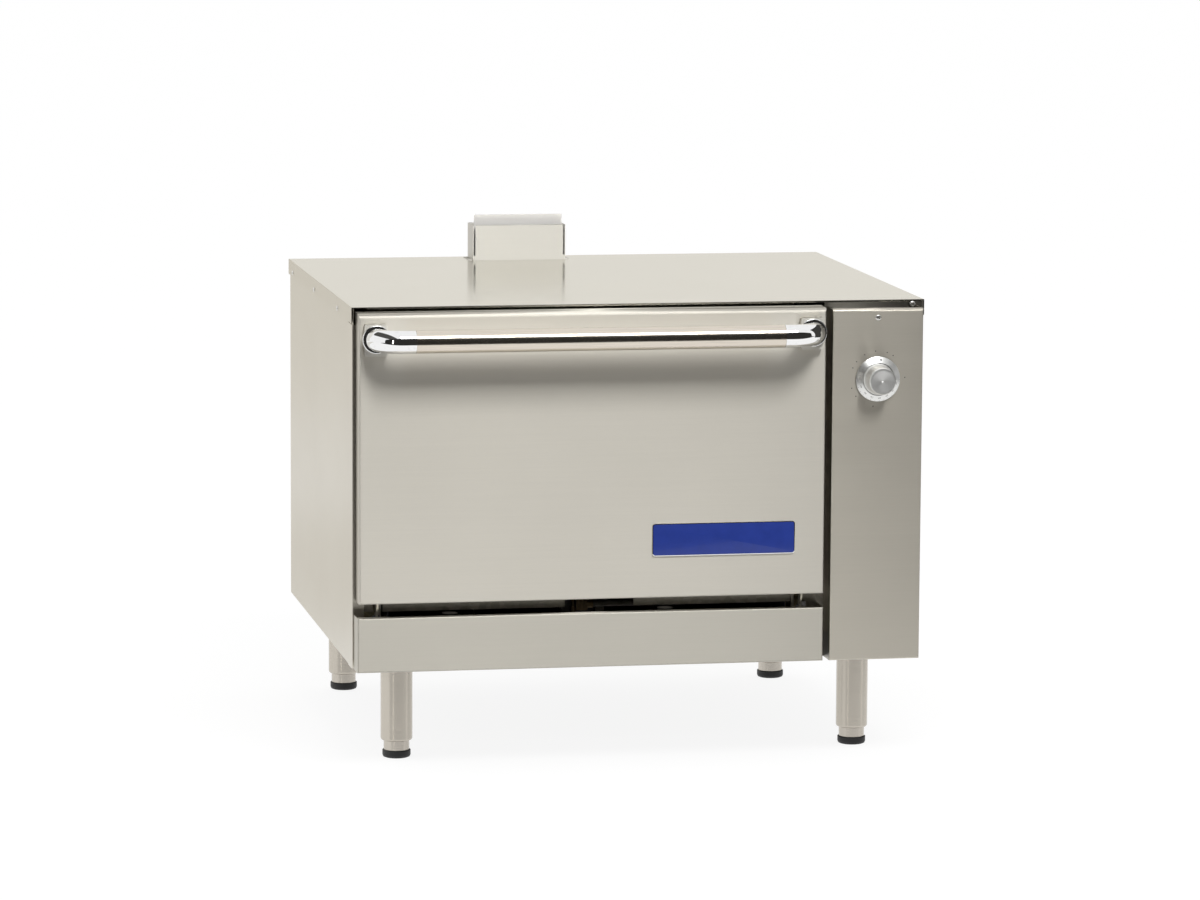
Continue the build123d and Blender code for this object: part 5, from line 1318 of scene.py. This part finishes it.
@dataclass
class Studio:
    """White room, a soft lamp, boards that only reflections see, and the camera."""

    eye: tuple[float, float, float] = (-1.6026, -8.49405, 1.6361)
    yaw: float = 10.678
    pitch: float = 7.793
    roll: float = 0.32
    lens: float = 160.19
    floor_albedo: float = 0.16
    floor_glow: float = 0.885
    floor_reach: float = 40.0
    room: float = 0.70
    key_at: tuple[float, float, float] = (0.30, -2.95, 3.66)
    key_aim: tuple[float, float, float] = (0.20, -0.35, 0.55)
    key_size: tuple[float, float] = (2.2, 1.2)
    key_power: float = 67
    flag_tint: Colour = (1, 0.976, 0.917)

    def build(self) -> None:
        """Set up the world, floor, lamp, flags and camera."""
        self.world()
        self.floor()
        self.lamp()
        self.flag("floor_flag", (-6.6, -4.0, 0.004), (7.0, -1.77, 0.004), 0.03)
        self.flag("front_flag", (-6.6, -4.0, 0.0), (7.0, -4.0, 3.7), 0.03)
        self.flag("back_card", (-6.0, 4.0, 0.0), (8.0, 4.0, 4.0), 0.84)
        self.flag("side_card", (-6.0, 0.9, 0.006), (-0.6, 2.3, 0.006), 0.80)
        self.flag("left_flag", (-3.4, -3.2, 3.0), (-1.4, 2.0, 3.0), 0.08)
        self.flag("right_flag", (2.6, -1.0, 0.0), (2.6, 3.9, 3.0), 0.05)
        self.flag("strip_light", (-2.13, -2.9, 0.1), (-1.93, -2.9, 1.9), 4.5)
        self.camera()
        bpy.context.scene.view_settings.view_transform = "Standard"

    def seen(self, graph: Graph) -> Value:
        """1 for rays from the camera, a mirror or through glass, and 0 for the rest.

        Args:
            graph: the graph that the value is for.

        Returns:
            The value.
        """
        path = graph.node("ShaderNodeLightPath").socket.node
        camera, glossy, through = (Value(graph, path.outputs[name]) for name in (
            "Is Camera Ray", "Is Glossy Ray", "Is Transmission Ray"))
        return graph.math("MINIMUM", camera + glossy + through, 1.0)

    def world(self) -> None:
        """White where it is seen, dimmer where it only lights."""
        world = bpy.data.worlds.new("white_room")
        bpy.context.scene.world = world
        world.use_nodes = True
        graph = Graph(world.node_tree)
        strength = self.seen(graph) * (1 - self.room) + self.room
        graph.out(graph.node("ShaderNodeBackground", {"Color": (1, 1, 1), "Strength": strength}), "World")

    def board(self, name: str, corners: Sequence[Point]) -> tuple[bpy.types.Object, Graph]:
        """Flat stage board with an empty material.

        Args:
            name: the board's and its material's name.
            corners: its four corners, in metres.

        Returns:
            The board and its material's graph.
        """
        mesh = bpy.data.meshes.new(name)
        mesh.from_pydata([tuple(c) for c in corners], [], [(0, 1, 2, 3)])
        material = bpy.data.materials.new(name)
        material.use_nodes = True
        mesh.materials.append(material)
        board = added(name, mesh)
        return board, Graph(material.node_tree)

    def floor(self) -> None:
        """Large pale floor: dull enough to keep a soft shadow, and glowing where it is seen."""
        reach = self.floor_reach
        corners = [(x * reach, y * reach, 0) for x, y in ((-1, -1), (1, -1), (1, 1), (-1, 1))]
        _, graph = self.board("floor", corners)
        low, high = ((self.floor_albedo * factor,) * 3 for factor in (1, 1.03))
        pale = graph.blend(graph.noise(0.6, 3, 0.5), low, high)
        matt = graph.node("ShaderNodeBsdfDiffuse", {"Color": pale})
        light = {"Color": (1, 1, 1), "Strength": self.seen(graph) * self.floor_glow}
        graph.out(graph.node("ShaderNodeAddShader", {0: matt, 1: graph.node("ShaderNodeEmission", light)}))

    def lamp(self) -> None:
        """Oblong soft lamp, above and in front of the oven."""
        light = bpy.data.lights.new("key", "AREA")
        light.shape = "RECTANGLE"
        light.size, light.size_y = self.key_size
        light.energy = self.key_power
        lamp = added("key", light)
        lamp.location = self.key_at
        lamp.rotation_euler = (Vector(self.key_aim) - Vector(self.key_at)).to_track_quat("-Z", "Y").to_euler()

    def flag(self, name: str, low: Point, high: Point, tone: float) -> None:
        """Board that only mirrors see: the rectangle from one corner to the other, flat along one axis.

        Args:
            name: the board's name.
            low: its corner of least x, y and z.
            high: the corner across, the same as low along the axis that the board faces.
            tone: how bright it is.
        """
        first, second = (axis for axis in range(3) if low[axis] != high[axis])
        corners = [list(low) for _ in range(4)]
        for corner, (right, up) in zip(corners, ((0, 0), (1, 0), (1, 1), (0, 1))):
            corner[first], corner[second] = (low, high)[right][first], (low, high)[up][second]
        board, graph = self.board(name, corners)
        graph.out(graph.node("ShaderNodeEmission", {"Color": self.flag_tint, "Strength": tone}))
        for ray in ("camera", "diffuse", "transmission", "volume_scatter", "shadow"):
            setattr(board, f"visible_{ray}", False)

    def camera(self) -> None:
        """Camera at the photograph's viewing angle, turned by its yaw, pitch and roll."""
        yaw, pitch, roll = (math.radians(a) for a in (self.yaw, self.pitch, self.roll))
        forward = Vector((math.sin(yaw) * math.cos(pitch), math.cos(yaw) * math.cos(pitch), -math.sin(pitch)))
        right = Vector((math.cos(yaw), -math.sin(yaw), 0))
        up = right.cross(forward)
        right, up = math.cos(roll) * right + math.sin(roll) * up, math.cos(roll) * up - math.sin(roll) * right
        data = bpy.data.cameras.new("camera")
        data.lens = self.lens
        data.sensor_width = 36
        data.clip_end = 200
        camera = added("camera", data)
        turn = Matrix((right, up, -forward)).transposed().to_4x4()
        camera.matrix_world = Matrix.Translation(self.eye) @ turn
        bpy.context.scene.camera = camera


def main() -> None:
    """Load the frame, light the scene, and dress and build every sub-assembly."""
    logging.basicConfig(level=logging.INFO, format="%(name)s: %(message)s")
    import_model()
    for assembly in (Studio, CasingShell, Flue, OvenBox, GasLine, Door, Handle, Hinges, Controls, Legs):
        assembly().build()
        LOG.info("built %s", assembly.__name__)


if __name__ == "__main__":
    main()
